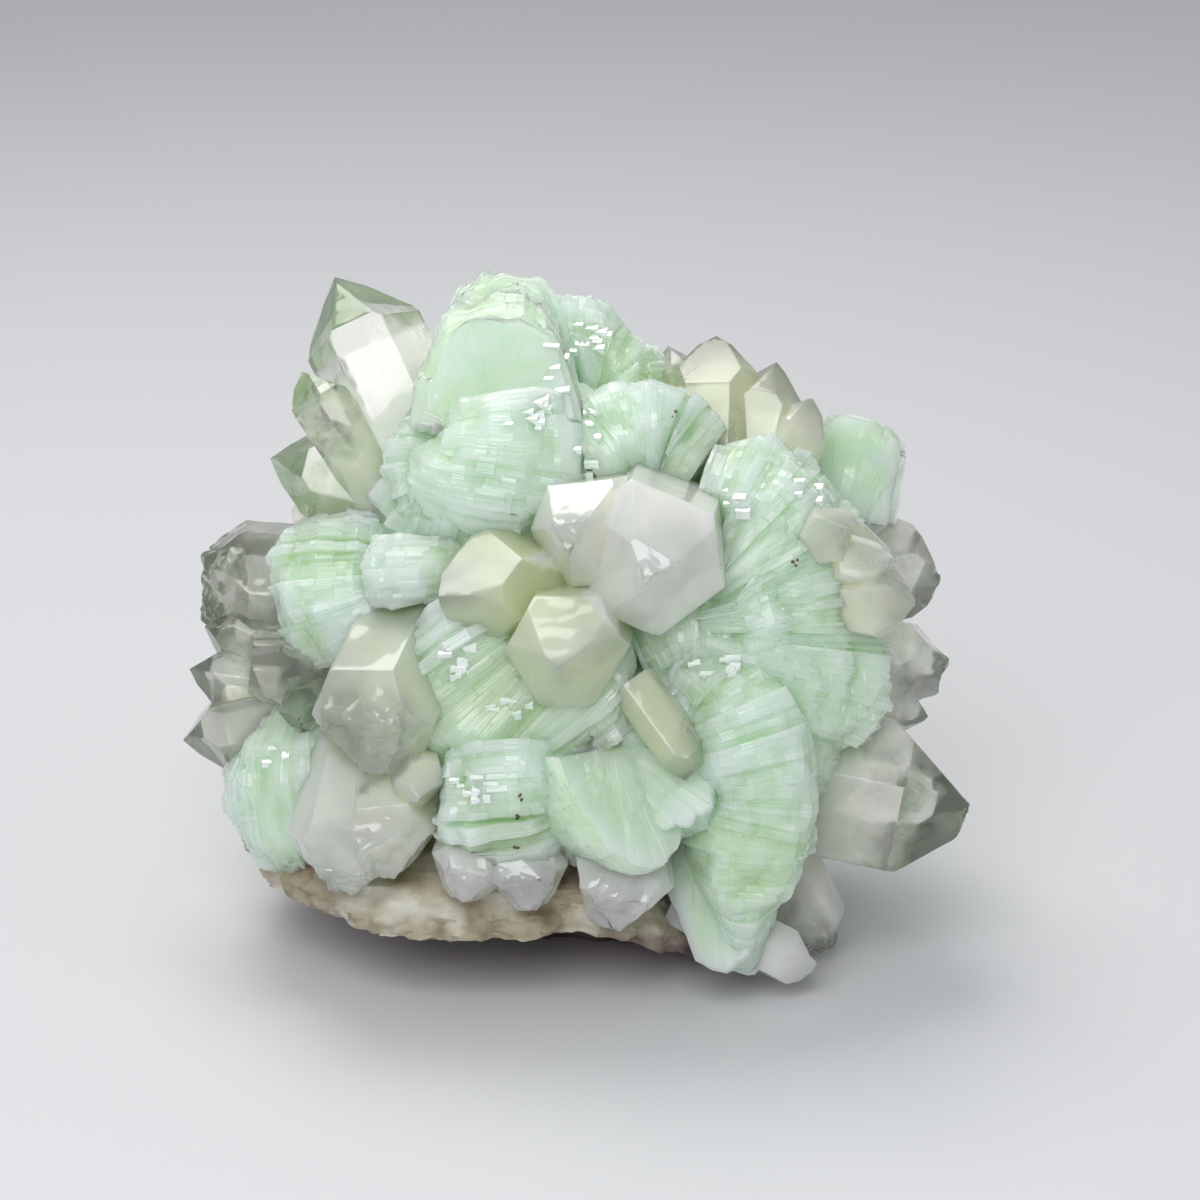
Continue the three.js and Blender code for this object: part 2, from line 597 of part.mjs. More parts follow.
const backFans = [
  { hub: [-8, 8, -9], reach: [-0.2, 0.6, -0.8], line: [1, 0.2, 0],
    radius: 11.5, width: 17, spread: 150, books: 5 },
  { hub: [8, 6, -8], reach: [0.4, 0.5, -0.8], line: [1, -0.5, 0],
    radius: 11.5, width: 15, spread: 140, books: 5 },
  { hub: [-1, 2, -11], reach: [0, 0.25, -1], line: [1, -0.3, 0],
    radius: 11, width: 14, spread: 120, books: 4 },
  { hub: [-13, -5, -8], reach: [-0.7, 0, -0.7], line: [0.1, 1, 0],
    radius: 11.5, width: 16, spread: 140, books: 5 },
  { hub: [0, -6, -11], reach: [0, 0, -1], line: [1, 0.1, 0],
    radius: 11, width: 16, spread: 140, books: 5 },
  { hub: [12, -7, -8], reach: [0.6, 0, -0.8], line: [0.2, 1, 0.2],
    radius: 11, width: 16, spread: 140, books: 5 },
  { hub: [-12, -13, -11], reach: [-0.4, -0.5, -0.8], line: [1, -0.4, -0.5],
    radius: 10, width: 15, spread: 130, books: 4 },
  { hub: [1, -16, -15], reach: [0, -0.5, -0.85], line: [1, 0.1, 0.1],
    radius: 9, width: 15, spread: 130, books: 4 },
  { hub: [10, -16, -10], reach: [0.5, -0.5, -0.7], line: [1, 0.3, 0.5],
    radius: 9.5, width: 13, spread: 130, books: 4 },
];

const prehniteLumps = [
  { centre: [-1, 3, 23], half: [20, 15.4, 16] },
  { centre: [-4, 4.5, 34], half: [16, 11, 12] },
];

// Each solid is cut back from what it grew against, so that all keep the same narrow gap
const allCrystals = Object.values(quartzGroups).flatMap((group) => group.crystals);
const quartzRoom = joined(allCrystals.map((crystal) => quartz(crystal, grownGap)));

function prehniteSolid() {
  const ridges = Object.values(prehniteRidges).map(({ squareness, plates }, number) => prehniteRidge({
    plates: plates.map((plate) => ({ ...plate, crest: seen(plate.crest), out: facing(plate.out) })),
    squareness,
    thickness: plateThickness,
  }, number + 1));
  const fans = backFans.map((fan, number) => prehniteRidge({
    plates: fanPlates(fan),
    squareness: fanSquareness,
    thickness: backPlateThickness,
  }, number + backSeed));
  const grown = joined([...prehniteLumps.map(prehniteLump), ...ridges, ...fans]);
  return largestPiece(grown.subtract(matrixSolid(grownGap)).subtract(quartzRoom));
}

function named(name, solid, colour, roughness) {
  const material = new THREE.MeshStandardMaterial({ color: colour, roughness, metalness: 0 });
  const mesh = new THREE.Mesh(toGeometry(solid), material);
  mesh.name = name;
  return mesh;
}

const group = new THREE.Group();
group.position.set(...standingShift);
const matrix = largestPiece(matrixSolid().subtract(quartzRoom));
group.add(named('matrix', matrix, colours.matrix, roughnesses.matrix));
group.add(named('prehnite', prehniteSolid(), colours.prehnite, roughnesses.prehnite));
for (const [name, { colour, crystals }] of Object.entries(quartzGroups)) {
  group.add(named(name, joined(crystals.map((crystal) => quartz(crystal))), colour, roughnesses.quartz));
}

export default group;
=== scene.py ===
import math

import bmesh
import bpy
import numpy as np
from mathutils import Matrix, Vector, bvhtree, kdtree


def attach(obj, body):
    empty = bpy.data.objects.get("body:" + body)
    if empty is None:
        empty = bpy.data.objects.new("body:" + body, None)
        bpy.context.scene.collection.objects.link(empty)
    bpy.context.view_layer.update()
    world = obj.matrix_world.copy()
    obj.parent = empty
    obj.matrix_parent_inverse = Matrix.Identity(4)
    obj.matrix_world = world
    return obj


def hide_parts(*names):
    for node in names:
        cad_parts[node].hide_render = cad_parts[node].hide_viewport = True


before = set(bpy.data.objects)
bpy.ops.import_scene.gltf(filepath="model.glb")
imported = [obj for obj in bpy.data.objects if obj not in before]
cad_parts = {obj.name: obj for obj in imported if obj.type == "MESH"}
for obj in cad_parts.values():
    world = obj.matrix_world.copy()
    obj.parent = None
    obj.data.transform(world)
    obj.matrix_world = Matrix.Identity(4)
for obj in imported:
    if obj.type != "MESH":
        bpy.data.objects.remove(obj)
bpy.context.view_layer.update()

# Viewpoint: the specimen is set up with its best crystals to the front, and is looked at a little
# from above. Its crystals are placed as they are seen from there: right, up, and nearer to the eye.
MM = 0.001
EYE_TILT = math.radians(20)
EYE_DISTANCE = 300
AIM = np.array([2.0, -2.6, 28.5])
VIEW_WIDTH = 96
SENSOR_WIDTH = 36
KEY_LIGHT = np.array([-60.0, 120.0, 330.0])
TO_RIGHT = np.array([1.0, 0.0, 0.0])
TO_TOP = np.array([0.0, math.sin(EYE_TILT), math.cos(EYE_TILT)])
TO_EYE = np.array([0.0, -math.cos(EYE_TILT), math.sin(EYE_TILT)])


def facing(direction):
    """A direction that is given as right, up and nearer, in the frame's own axes."""
    right, up, near = direction
    return right * TO_RIGHT + up * TO_TOP + near * TO_EYE


def seen(place):
    """A place that is given as it is seen, in the frame's own axes, in millimetres."""
    right, up, near = place
    nearer = (EYE_DISTANCE - near) / EYE_DISTANCE
    return AIM + facing((right * nearer, up * nearer, near))


def pointing(obj, target):
    away = obj.location - Vector(target)
    obj.rotation_euler = away.to_track_quat("Z", "Y").to_euler()


camera = bpy.data.objects.new("camera", bpy.data.cameras.new("camera"))
camera.data.sensor_width = SENSOR_WIDTH
camera.data.lens = SENSOR_WIDTH * EYE_DISTANCE / VIEW_WIDTH
camera.data.clip_start = 10 * MM
camera.location = (AIM + EYE_DISTANCE * TO_EYE) * MM
pointing(camera, AIM * MM)
bpy.context.collection.objects.link(camera)
bpy.context.scene.camera = camera

# Matrix: the thin, rough piece of altered rock that the crystals grew on, broken off its vein.
# It is grey-tan at the rim and yellower above. Lower down it turns pinkish brown, the broken rock's own
# tone, painted darker there as shade under the overhang.
MATRIX_RINGS = [
    {"middle": (-1, 2.4), "half": (16.5, 7.2), "spin": -19, "rise": 0, "lift": 0},
    {"middle": (-3, 1.4), "half": (18.5, 11.0), "spin": -10, "rise": 0.55, "lift": 0},
    {"middle": (-5.4, -1.8), "half": (21.4, 17.6), "spin": 0, "rise": 1, "lift": 0},
    {"middle": (-5.4, -1.8), "half": (22.0, 18.1), "spin": 0, "rise": 1, "lift": 1.8},
    {"middle": (-5.4, -1.8), "half": (20.4, 16.6), "spin": 0, "rise": 1, "lift": 3.6},
    {"middle": (-5.0, -1.8), "half": (13.0, 11.0), "spin": 0, "rise": 1, "lift": 5.4},
    {"middle": (-5.0, -1.8), "half": (0.4, 0.4), "spin": 0, "rise": 1, "lift": 6.4},
]
MATRIX_STEPS = 300
MATRIX_LAYERS = 9
MATRIX_RIM_HEIGHT = 6.6
MATRIX_RIM_FALL = 4.4
MATRIX_RIM_FALL_WIDTH = 12
MATRIX_WAVE = 0.03
MATRIX_RIPPLE = 0.02
ROCK_LUMP = 0.6
ROCK_CRAG = 0.25
ROCK_CRUMB = 0.16
ROCK_GRAIN = 0.08
ROCK_HEART = np.array([-4.0, 0.0, 8.0])
ROCK_CLEARANCE = 0.02
ROCK_SHARP_ANGLE = 40
UNDERSIDE_TOP = 7.0
UNDERSIDE_UNEVEN = 1.5
UNDERSIDE_FADE = 3
ROCK_TAN = [(0.32, (0.20, 0.15, 0.09)), (0.5, (0.45, 0.40, 0.29)), (0.70, (0.68, 0.66, 0.58))]
# Dark pinkish browns for the lower rock: its own pink tone, darkened as painted shade.
ROCK_PINK_AND_SHADE = [(0.35, (0.12, 0.075, 0.085)), (0.68, (0.34, 0.25, 0.25))]


def unevenness(row, column):
    """An even spread of numbers from -1 to 1, the same for the same row and column."""
    wave = np.sin(np.asarray(row) * 127.1 + np.asarray(column) * 311.7) * 43758.5453
    return 2 * (wave - np.floor(wave)) - 1


def patchy(points, grain, seed=0):
    """Smooth patches about one grain across, from -1 to 1, at points in millimetres."""
    cells = np.asarray(points, float) / grain
    corner = np.floor(cells)
    part = cells - corner
    part = part * part * (3 - 2 * part)
    total = 0
    for step in np.ndindex(2, 2, 2):
        at = corner + step
        value = unevenness(at[:, 0] + 57.3 * at[:, 1] + seed, at[:, 2] + 13.7 * seed)
        share = np.prod(np.where(np.array(step) == 1, part, 1 - part), axis=1)
        total = total + value * share
    return total


def solid(name, points, faces):
    """A mesh object from points in millimetres."""
    mesh = bpy.data.meshes.new(name)
    mesh.from_pydata((np.asarray(points) * MM).tolist(), [], faces)
    obj = bpy.data.objects.new(name, mesh)
    bpy.context.collection.objects.link(obj)
    return obj


def loft(rows):
    """The faces between rows of points that each close on themselves."""
    count, across = rows
    faces = []
    for row in range(count - 1):
        for k in range(across):
            low = row * across + k
            low_next = row * across + (k + 1) % across
            faces.append((low, low_next, low_next + across, low + across))
    return faces


def smooth(obj, angle):
    """Shades the mesh smooth, but for edges sharper than the angle in degrees."""
    mesh = obj.data
    mesh.shade_smooth()
    mesh.set_sharp_from_angle(angle=math.radians(angle))


def keep_value(obj, name, values):
    """Keeps one number for each vertex of the mesh, for its material to read."""
    layer = obj.data.attributes.new(name, "FLOAT", "POINT")
    layer.data.foreach_set("value", np.asarray(values, np.float32))


def vertices_of(obj):
    """The places of the mesh's vertices, in millimetres."""
    places = np.empty(len(obj.data.vertices) * 3)
    obj.data.vertices.foreach_get("co", places)
    return places.reshape(-1, 3) / MM


def set_sockets(node, **values):
    """Sets sockets of a node, named with _ for a space."""
    for name, value in values.items():
        node.inputs[name.replace("_", " ")].default_value = value


def new_material(name, **values):
    """A material, its shader with the given values, and the means to join its nodes."""
    material = bpy.data.materials.new(name)
    material.use_nodes = True
    shader = material.node_tree.nodes["Principled BSDF"]
    set_sockets(shader, **values)
    return material, shader, material.node_tree.links.new


def new_node(material, kind, **values):
    """A new node of this kind in the material, with the given values."""
    node = material.node_tree.nodes.new("ShaderNode" + kind)
    set_sockets(node, **values)
    return node


def new_sum(material, operation="ADD"):
    """A node that adds its values, or multiplies them first."""
    node = new_node(material, "Math")
    node.operation = operation
    return node


def new_mix(material, **colours):
    """A mix of two colours."""
    node = new_node(material, "Mix")
    node.data_type = "RGBA"
    set_sockets(node, **colours)
    return node


def new_ramp(material, stops):
    """A ramp of colours, with the place and colour of each stop."""
    node = new_node(material, "ValToRGB")
    elements = node.color_ramp.elements
    for element, (place, colour) in zip(elements, (stops[0], stops[-1])):
        element.position = place
        element.color = (*colour, 1)
    for place, colour in stops[1:-1]:
        elements.new(place).color = (*colour, 1)
    return node


def kept_value(material, name):
    """The number that each vertex keeps under this name."""
    node = new_node(material, "Attribute")
    node.attribute_name = name
    return node.outputs["Fac"]


def rock_points():
    keys = ("half", "middle")
    rings = {key: np.array([ring[key] for ring in MATRIX_RINGS], float) for key in keys}
    plain = {key: np.array([ring[key] for ring in MATRIX_RINGS], float) for key in ("spin", "rise", "lift")}
    levels = np.linspace(0, len(MATRIX_RINGS) - 1, (len(MATRIX_RINGS) - 1) * MATRIX_LAYERS + 1)
    known = np.arange(len(MATRIX_RINGS))
    angle = np.linspace(0, 2 * np.pi, MATRIX_STEPS, endpoint=False)
    rows = []
    for level in levels:
        half = [np.interp(level, known, rings["half"][:, axis]) for axis in (0, 1)]
        middle = [np.interp(level, known, rings["middle"][:, axis]) for axis in (0, 1)]
        turned = math.radians(np.interp(level, known, plain["spin"]))
        rough = 1 + MATRIX_WAVE * np.sin(3 * angle + 1) + MATRIX_RIPPLE * np.sin(7 * angle + level)
        wide = half[0] * rough * np.cos(angle)
        deep = half[1] * rough * np.sin(angle)
        x = middle[0] + wide * math.cos(turned) - deep * math.sin(turned)
        y = middle[1] + wide * math.sin(turned) + deep * math.cos(turned)
        fall = np.clip(x / MATRIX_RIM_FALL_WIDTH, 0, 1)
        rim = MATRIX_RIM_HEIGHT - MATRIX_RIM_FALL * fall * fall * (3 - 2 * fall)
        z = np.interp(level, known, plain["rise"]) * rim + np.interp(level, known, plain["lift"])
        rows.append(np.stack([x, y, z], axis=1))
    return np.concatenate(rows), len(levels)


def matrix_material():
    material, shader, join = new_material("rough_matrix_rock", Roughness=0.75, Specular_IOR_Level=0.35)
    place = new_node(material, "TexCoord")
    spots = new_node(material, "TexNoise", Scale=260, Detail=6)
    grains = new_node(material, "TexVoronoi", Scale=900)
    tan = new_ramp(material, ROCK_TAN)
    pink = new_ramp(material, ROCK_PINK_AND_SHADE)
    both = new_mix(material)
    bump = new_node(material, "Bump", Strength=0.6, Distance=0.15 * MM)
    for node in (spots, grains):
        join(place.outputs["Object"], node.inputs["Vector"])
    join(spots.outputs["Fac"], tan.inputs["Fac"])
    join(spots.outputs["Fac"], pink.inputs["Fac"])
    # The lower rock takes the dark pink: painted shade over its own pink tone.
    join(kept_value(material, "underside_pink_and_shade"), both.inputs["Factor"])
    join(tan.outputs["Color"], both.inputs["A"])
    join(pink.outputs["Color"], both.inputs["B"])
    join(both.outputs["Result"], shader.inputs["Base Color"])
    join(grains.outputs["Distance"], bump.inputs["Height"])
    join(bump.outputs["Normal"], shader.inputs["Normal"])
    return material


rock, rock_rows = rock_points()
resting = rock[:, 2] < 1e-6
lumpy = ROCK_LUMP * patchy(rock, 3.2, 4) + ROCK_CRAG * np.round(2.4 * patchy(rock, 1.5, 9))
lumpy = lumpy + ROCK_CRUMB * np.round(2.2 * patchy(rock, 0.8, 2)) + ROCK_GRAIN * patchy(rock, 0.4, 6)
outward = rock - ROCK_HEART
outward /= np.linalg.norm(outward, axis=1, keepdims=True)
rock_shaped = rock + outward * lumpy[:, None]
rock_shaped[:, 2] = np.maximum(rock_shaped[:, 2], ROCK_CLEARANCE)
rock_shaped[resting, 2] = 0
rock_faces = loft((rock_rows, MATRIX_STEPS))
rock_faces.append(tuple(range(MATRIX_STEPS))[::-1])
rock_faces.append(tuple(range((rock_rows - 1) * MATRIX_STEPS, rock_rows * MATRIX_STEPS)))
matrix = solid("matrix_rock", rock_shaped, rock_faces)
smooth(matrix, ROCK_SHARP_ANGLE)
# Darker and pinker towards the bottom: painted shade over the rock's own pink tone.
below = UNDERSIDE_TOP - rock[:, 2] + UNDERSIDE_UNEVEN * patchy(rock, 4, 7)
keep_value(matrix, "underside_pink_and_shade", np.clip(below / UNDERSIDE_FADE, 0, 1))
matrix.data.materials.append(matrix_material())
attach(matrix, "root")
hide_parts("matrix")

# Prehnite: the pale green mass, a milky silicate that grew over the matrix and around the quartz. Its
# thin tabular crystals are stacked face to face, each a little turned from the last, so that they
# stand in curved fans like the leaves of an open book.
PREHNITE_RIDGES = {
    # Each ridge has the squareness of its leaves and, for each plate, its crest, way out, depth and
    # width. Places are seen from the front, in millimetres right, up and nearer to the eye.
    "crown_back": (0.85, [
        ((-8.4, 22.6, 5.5), (-0.03, 0.9, -0.4), 11, 12.5),
        ((-8.2, 24.6, 2.5), (0, 0.9, -0.4), 13, 12.5),
        ((-7.4, 26.2, -2), (0, 0.95, -0.35), 15, 11),
        ((-8.0, 26.0, -7), (0, 0.95, -0.4), 15, 11),
        ((-8.6, 23.6, -12), (0, 0.85, -0.5), 14, 12),
    ]),
    "crown_face": (0.7, [
        ((-7.8, 16.6, 9.6), (0, 0.5, 0.86), 9, 12.5),
        ((-7.6, 13.0, 11.4), (0, 0.1, 0.98), 9, 14),
        ((-8.2, 8.4, 11.4), (0, -0.35, 0.93), 9, 15),
        ((-8.8, 4.4, 9), (0, -0.85, 0.5), 9, 14),
    ]),
    "crown_left": (0.8, [
        ((-13.6, 16.4, 6), (-0.6, 0.6, 0.5), 7, 6),
        ((-16.2, 11.6, 7.4), (-0.8, 0.1, 0.6), 7.5, 8),
        ((-15.6, 6.6, 8), (-0.6, -0.6, 0.5), 7, 8),
    ]),
    "crown_right": (0.6, [
        ((-4.2, 23.0, -0.5), (-0.1, 0.9, 0.4), 9, 7),
        ((-0.4, 23.0, -0.5), (0.05, 0.9, 0.4), 9, 8.5),
        ((3.6, 20.2, -0.5), (0.4, 0.8, 0.4), 8.5, 9),
        ((6.0, 16.4, 1), (0.6, 0.6, 0.4), 7, 8),
    ]),
    "low_crest": (0.7, [
        ((-2.4, 13.4, 9.4), (-0.3, 0.5, 0.8), 7, 7.5),
        ((1.6, 15.4, 9), (0, 0.6, 0.8), 8, 9),
        ((5.8, 14.8, 8), (0.1, 0.6, 0.8), 8, 9),
        ((9.2, 12.4, 8), (0.3, 0.5, 0.8), 7, 8),
    ]),
    "big_right_fan": (0.75, [
        ((12.4, 13.2, 6), (0.2, 0.9, 0.25), 11, 13),
        ((18.0, 9.6, 6.4), (0.7, 0.65, 0.2), 13, 16),
        ((21.6, 3.2, 6), (0.95, 0.25, 0.2), 15.5, 18),
        ((23.2, -3.4, 6), (1, -0.05, 0.2), 16, 18),
        ((22.2, -10.0, 6), (0.9, -0.4, 0.2), 16, 17),
        ((18.4, -16.6, 4.4), (0.6, -0.75, 0.2), 14, 14),
    ]),
    "upper_right_blades": (0.65, [
        ((8.6, 10.8, 8.6), (-0.1, 0.5, 0.85), 6, 8),
        ((12.2, 10.2, 9.8), (0.1, 0.5, 0.85), 6, 9),
        ((15.6, 8.2, 10), (0.3, 0.4, 0.85), 6, 9),
        ((17.8, 4.6, 9.6), (0.4, 0.2, 0.85), 6, 8),
    ]),
    "right_slope": (0.7, [
        ((10.8, 5.8, 10.2), (0.2, 0.6, 0.75), 8, 11),
        ((15.2, 3.4, 11), (0.5, 0.4, 0.8), 9, 13),
        ((17.2, -1.6, 11.2), (0.6, 0.05, 0.8), 9, 14),
        ((17.2, -7.2, 10.4), (0.6, -0.3, 0.8), 9, 13),
        ((15.6, -12.4, 9), (0.5, -0.6, 0.7), 8, 11),
    ]),
    "crown_foot": (0.7, [
        ((-17.6, 9.6, 6), (-0.5, 0.2, 0.8), 7, 7),
        ((-15.2, 6.8, 8.6), (-0.3, -0.3, 0.9), 7.5, 8),
        ((-11.4, 5.2, 9.6), (-0.1, -0.6, 0.8), 7.5, 8.5),
        ((-7.0, 3.4, 9.6), (0, -0.6, 0.8), 7, 8),
    ]),
    "left_shingles": (0.7, [
        ((-17.4, -1.8, 8.6), (-0.2, 0.4, 0.9), 7, 8),
        ((-15.2, -5.2, 10.6), (-0.1, 0.1, 1), 8, 9),
        ((-13.6, -9.0, 11.8), (-0.1, -0.1, 1), 8, 9),
        ((-12.4, -12.8, 11.4), (-0.1, -0.4, 0.9), 8, 8),
    ]),
    "heart": (0.65, [
        ((1.6, -7.2, 11.6), (-0.1, 0.2, 1), 8, 11),
        ((4.4, -10.6, 12.2), (0, 0, 1), 8, 11),
        ((6.6, -14.2, 11.8), (0.1, -0.3, 0.95), 8, 10),
    ]),
    "caterpillar": (0.72, [
        ((7.4, -4.2, 12), (-0.2, 0.7, 0.7), 7.5, 7),
        ((10.6, -6.8, 14.6), (0, 0.2, 1), 8.5, 9),
        ((12.6, -11.4, 15.2), (0.1, 0, 1), 8.5, 10),
        ((13.4, -16.0, 14.2), (0.1, -0.1, 1), 8, 9),
        ((12.6, -20.6, 13.4), (0.1, -0.1, 1), 8, 9.5),
        ((12.2, -24.6, 11.4), (0.1, -0.4, 0.9), 8, 8.5),
        ((11.6, -27.4, 8), (0.05, -0.8, 0.6), 8, 6),
    ]),
    "foot_sheet": (0.95, [
        ((10.0, -29.2, 8.4), (0.12, -1, 0.1), 12, 8),
        ((10.8, -29.6, 5.4), (0.15, -1, -0.1), 12, 9),
        ((10.4, -28.2, 2.6), (0.1, -1, -0.2), 11, 9),
    ]),
    "shingles": (0.62, [
        ((-12.4, -0.2, 11.4), (-0.2, 0.5, 0.8), 8, 12),
        ((-10.6, -3.4, 13.4), (-0.1, 0.25, 0.95), 9, 15),
        ((-8.0, -6.8, 14.2), (0, 0, 1), 9, 18),
        ((-4.0, -10.6, 13.8), (0.1, -0.4, 0.9), 9, 17),
        ((-1.6, -13.6, 12.6), (0.2, -0.6, 0.8), 9, 14),
    ]),
    "front_block": (0.65, [
        ((-8.4, -11.4, 13.6), (-0.1, 0.3, 0.95), 8, 9),
        ((-8.4, -15.2, 15.4), (-0.1, 0, 1), 9, 10),
        ((-8.0, -19.2, 14.4), (0, -0.3, 0.95), 9, 10.5),
        ((-7.4, -21.6, 11.6), (0, -0.8, 0.6), 8, 9.5),
    ]),
    "low_lobes": (0.8, [
        ((4.0, -21.4, 14.6), (0.3, -0.95, 0.25), 11.5, 9.5),
        ((2.6, -21.8, 12), (0.2, -0.95, 0.1), 12, 12.5),
        ((0.6, -21.6, 8), (0.1, -0.95, 0), 12, 14),
    ]),
    "right_lobes": (0.8, [
        ((8.2, -16.4, 13.4), (0.8, -0.55, 0.25), 10, 8.5),
        ((8.8, -17.0, 10.6), (0.8, -0.6, 0.1), 11, 10.5),
        ((8.4, -17.8, 7), (0.7, -0.7, 0), 11, 12),
    ]),
    "left_comb": (0.6, [
        ((-14.6, 5.2, 9.6), (-0.2, 0.5, 0.8), 6.5, 8),
        ((-15.0, 2.6, 11), (-0.25, 0, 0.9), 7, 9),
        ((-14.8, -0.4, 10.6), (-0.2, -0.5, 0.8), 6.5, 8),
    ]),
    "left_lobes": (0.75, [
        ((-21.0, 7.0, 4.4), (-0.2, 0.7, 0.7), 7, 11),
        ((-22.0, 3.4, 7.4), (-0.2, 0.2, 0.95), 7.5, 12),
        ((-21.6, -0.8, 8), (-0.2, -0.1, 1), 7.5, 11),
        ((-19.4, -4.8, 7.4), (-0.1, -0.5, 0.85), 7, 10),
    ]),
    "lower_left_fan": (0.8, [
        ((-29.6, -15.4, -1), (-0.95, -0.1, 0.2), 9, 13),
        ((-28.2, -15.8, 4), (-0.6, -0.1, 0.8), 9, 15),
        ((-24.6, -15.8, 7.4), (-0.2, -0.1, 1), 9, 14.5),
        ((-20.6, -15.4, 8), (0.2, -0.1, 1), 9, 13),
    ]),
    "right_tab": (0.4, [
        ((20.9, 14.3, -1), (0.2, 0.97, 0.1), 13, 7.6),
        ((20.9, 14.6, -4), (0.2, 0.97, 0), 13, 8.2),
        ((20.9, 14.2, -6.6), (0.2, 0.97, -0.1), 13, 7.6),
    ]),
    "middle_blades": (0.7, [
        ((2.6, -3.6, 11), (-0.1, 0.1, 1), 8, 9),
        ((5.6, -2.2, 12.2), (0.1, 0.1, 0.95), 8, 10),
        ((9.0, -1.8, 12.4), (0.3, 0, 0.95), 8, 10),
        ((12.2, -2.6, 12.4), (0.3, 0, 0.95), 8, 9),
    ]),
}
BACK_FANS = [
    {"hub": (-8, 8, -9), "reach": (-0.2, 0.6, -0.8), "line": (1, 0.2, 0),
     "radius": 11.5, "width": 17, "spread": 150, "books": 5},
    {"hub": (8, 6, -8), "reach": (0.4, 0.5, -0.8), "line": (1, -0.5, 0),
     "radius": 11.5, "width": 15, "spread": 140, "books": 5},
    {"hub": (-1, 2, -11), "reach": (0, 0.25, -1), "line": (1, -0.3, 0),
     "radius": 11, "width": 14, "spread": 120, "books": 4},
    {"hub": (-13, -5, -8), "reach": (-0.7, 0, -0.7), "line": (0.1, 1, 0),
     "radius": 11.5, "width": 16, "spread": 140, "books": 5},
    {"hub": (0, -6, -11), "reach": (0, 0, -1), "line": (1, 0.1, 0),
     "radius": 11, "width": 16, "spread": 140, "books": 5},
    {"hub": (12, -7, -8), "reach": (0.6, 0, -0.8), "line": (0.2, 1, 0.2),
     "radius": 11, "width": 16, "spread": 140, "books": 5},
    {"hub": (-12, -13, -11), "reach": (-0.4, -0.5, -0.8), "line": (1, -0.4, -0.5),
     "radius": 10, "width": 15, "spread": 130, "books": 4},
    {"hub": (1, -16, -15), "reach": (0, -0.5, -0.85), "line": (1, 0.1, 0.1),
     "radius": 9, "width": 15, "spread": 130, "books": 4},
    {"hub": (10, -16, -10), "reach": (0.5, -0.5, -0.7), "line": (1, 0.3, 0.5),
     "radius": 9.5, "width": 13, "spread": 130, "books": 4},
]
PREHNITE_LUMPS = [
    {"centre": (-1, 0.4, 23), "half": (20, 15.4, 16)},
    {"centre": (-4, 1.9, 34), "half": (16, 11, 12)},
]
LEAF = 0.45
BACK_LEAF = 0.9
RIM_BLOCK = 1.0
LUMP_LEAF = 1.2
LUMP_STACK = np.array([0.35, 0.15, 0.92])
LOWEST_LEAF = 0.3
LEAF_UNEVEN = 0.35
LEAF_FILL = 0.9
LEAF_STEP = 0.15
BOOK_STEP = 0.5
LEAVES_IN_BUNDLE = 3
LEAVES_IN_BOOK = 7
RIM_TO_DEPTH = 1.6
RIM_MARGIN = 0.03
BLOCK_UNEVEN = 0.4
BLOCK_GAP = 0.04
BUNDLE_STEP = 0.12
BLOCK_STEP = 0.08
LEAF_TILT = 0.05
BLOCK_TILT = 0.07
USUALLY_BROKEN = 0.6
LEAST_BROKEN = 0.15
LOBE = 0.8
SMALL_LOBE = 0.4
FINE_STEPS = 12
BROAD_FACE_RINGS = (0.98, 0.95, 0.91, 0.87, 0.83, 0.78, 0.72, 0.66, 0.6, 0.54, 0.46, 0.38, 0.28, 0.15)
TERRACES = 3.2
TERRACE_HEIGHT = 0.16
RIB_HEIGHT = 0.07
FACE_SWELL = 0.12
# These outness values set the prehnite's colour: low values give painted shade in hollows, high values
# painted light on rims and knobs.
FACE_OUTNESS = 0.88
FACE_RIM_OUTNESS = 0.16
FACE_PATCHES = 0.08
LUMP_OUTNESS = 0.95
LUMP_RIM_OUTNESS = 0.14
LUMP_STEP = 0.32
LUMP_SWELL = 0.6
LUMP_KNOB = 0.3
BACK_SQUARENESS = 0.7
LEAST_FAN_WIDTH = 0.66
FAN_SWELL = 0.34
# The rim value that sets the green: painted shade in the hollows and painted light on the outer rims.
RIM_START = 0.84
RIM_SPAN = 0.32
LEAF_SHARP_ANGLE = 14
MOST_RIM_POINTS = 600000
# Darker, yellower green for the hollows is painted shade; paler bluish white for the outer rims is painted
# light.
PREHNITE_GREEN_AND_HOLLOW_SHADE = [(0.35, (0.575, 0.735, 0.49)), (0.66, (0.60, 0.765, 0.575)), (1.0, (0.66, 0.80, 0.70))]
PREHNITE_IOR = 1.63


def book_plates(fan):
    """A back fan as plates set round its hub line, one for each book of leaves."""
    hub = seen(fan["hub"])
    out = facing(fan["reach"])
    out /= np.linalg.norm(out)
    along = facing(fan["line"])
    along = along - out * along.dot(out)
    along /= np.linalg.norm(along)
    across = np.cross(along, out)
    plates = []
    for turned in np.linspace(-0.5, 0.5, fan["books"] + 1) * math.radians(fan["spread"]):
        plate_out = math.cos(turned) * out + math.sin(turned) * across
        width = fan["width"] * (LEAST_FAN_WIDTH + FAN_SWELL * math.cos(turned))
        plates.append((hub + plate_out * fan["radius"], plate_out, fan["radius"], width))
    return plates


def ridge_plates(plates):
    """A ridge's plates with their crests and directions in place."""
    return [(seen(crest), facing(out), depth, width) for crest, out, depth, width in plates]


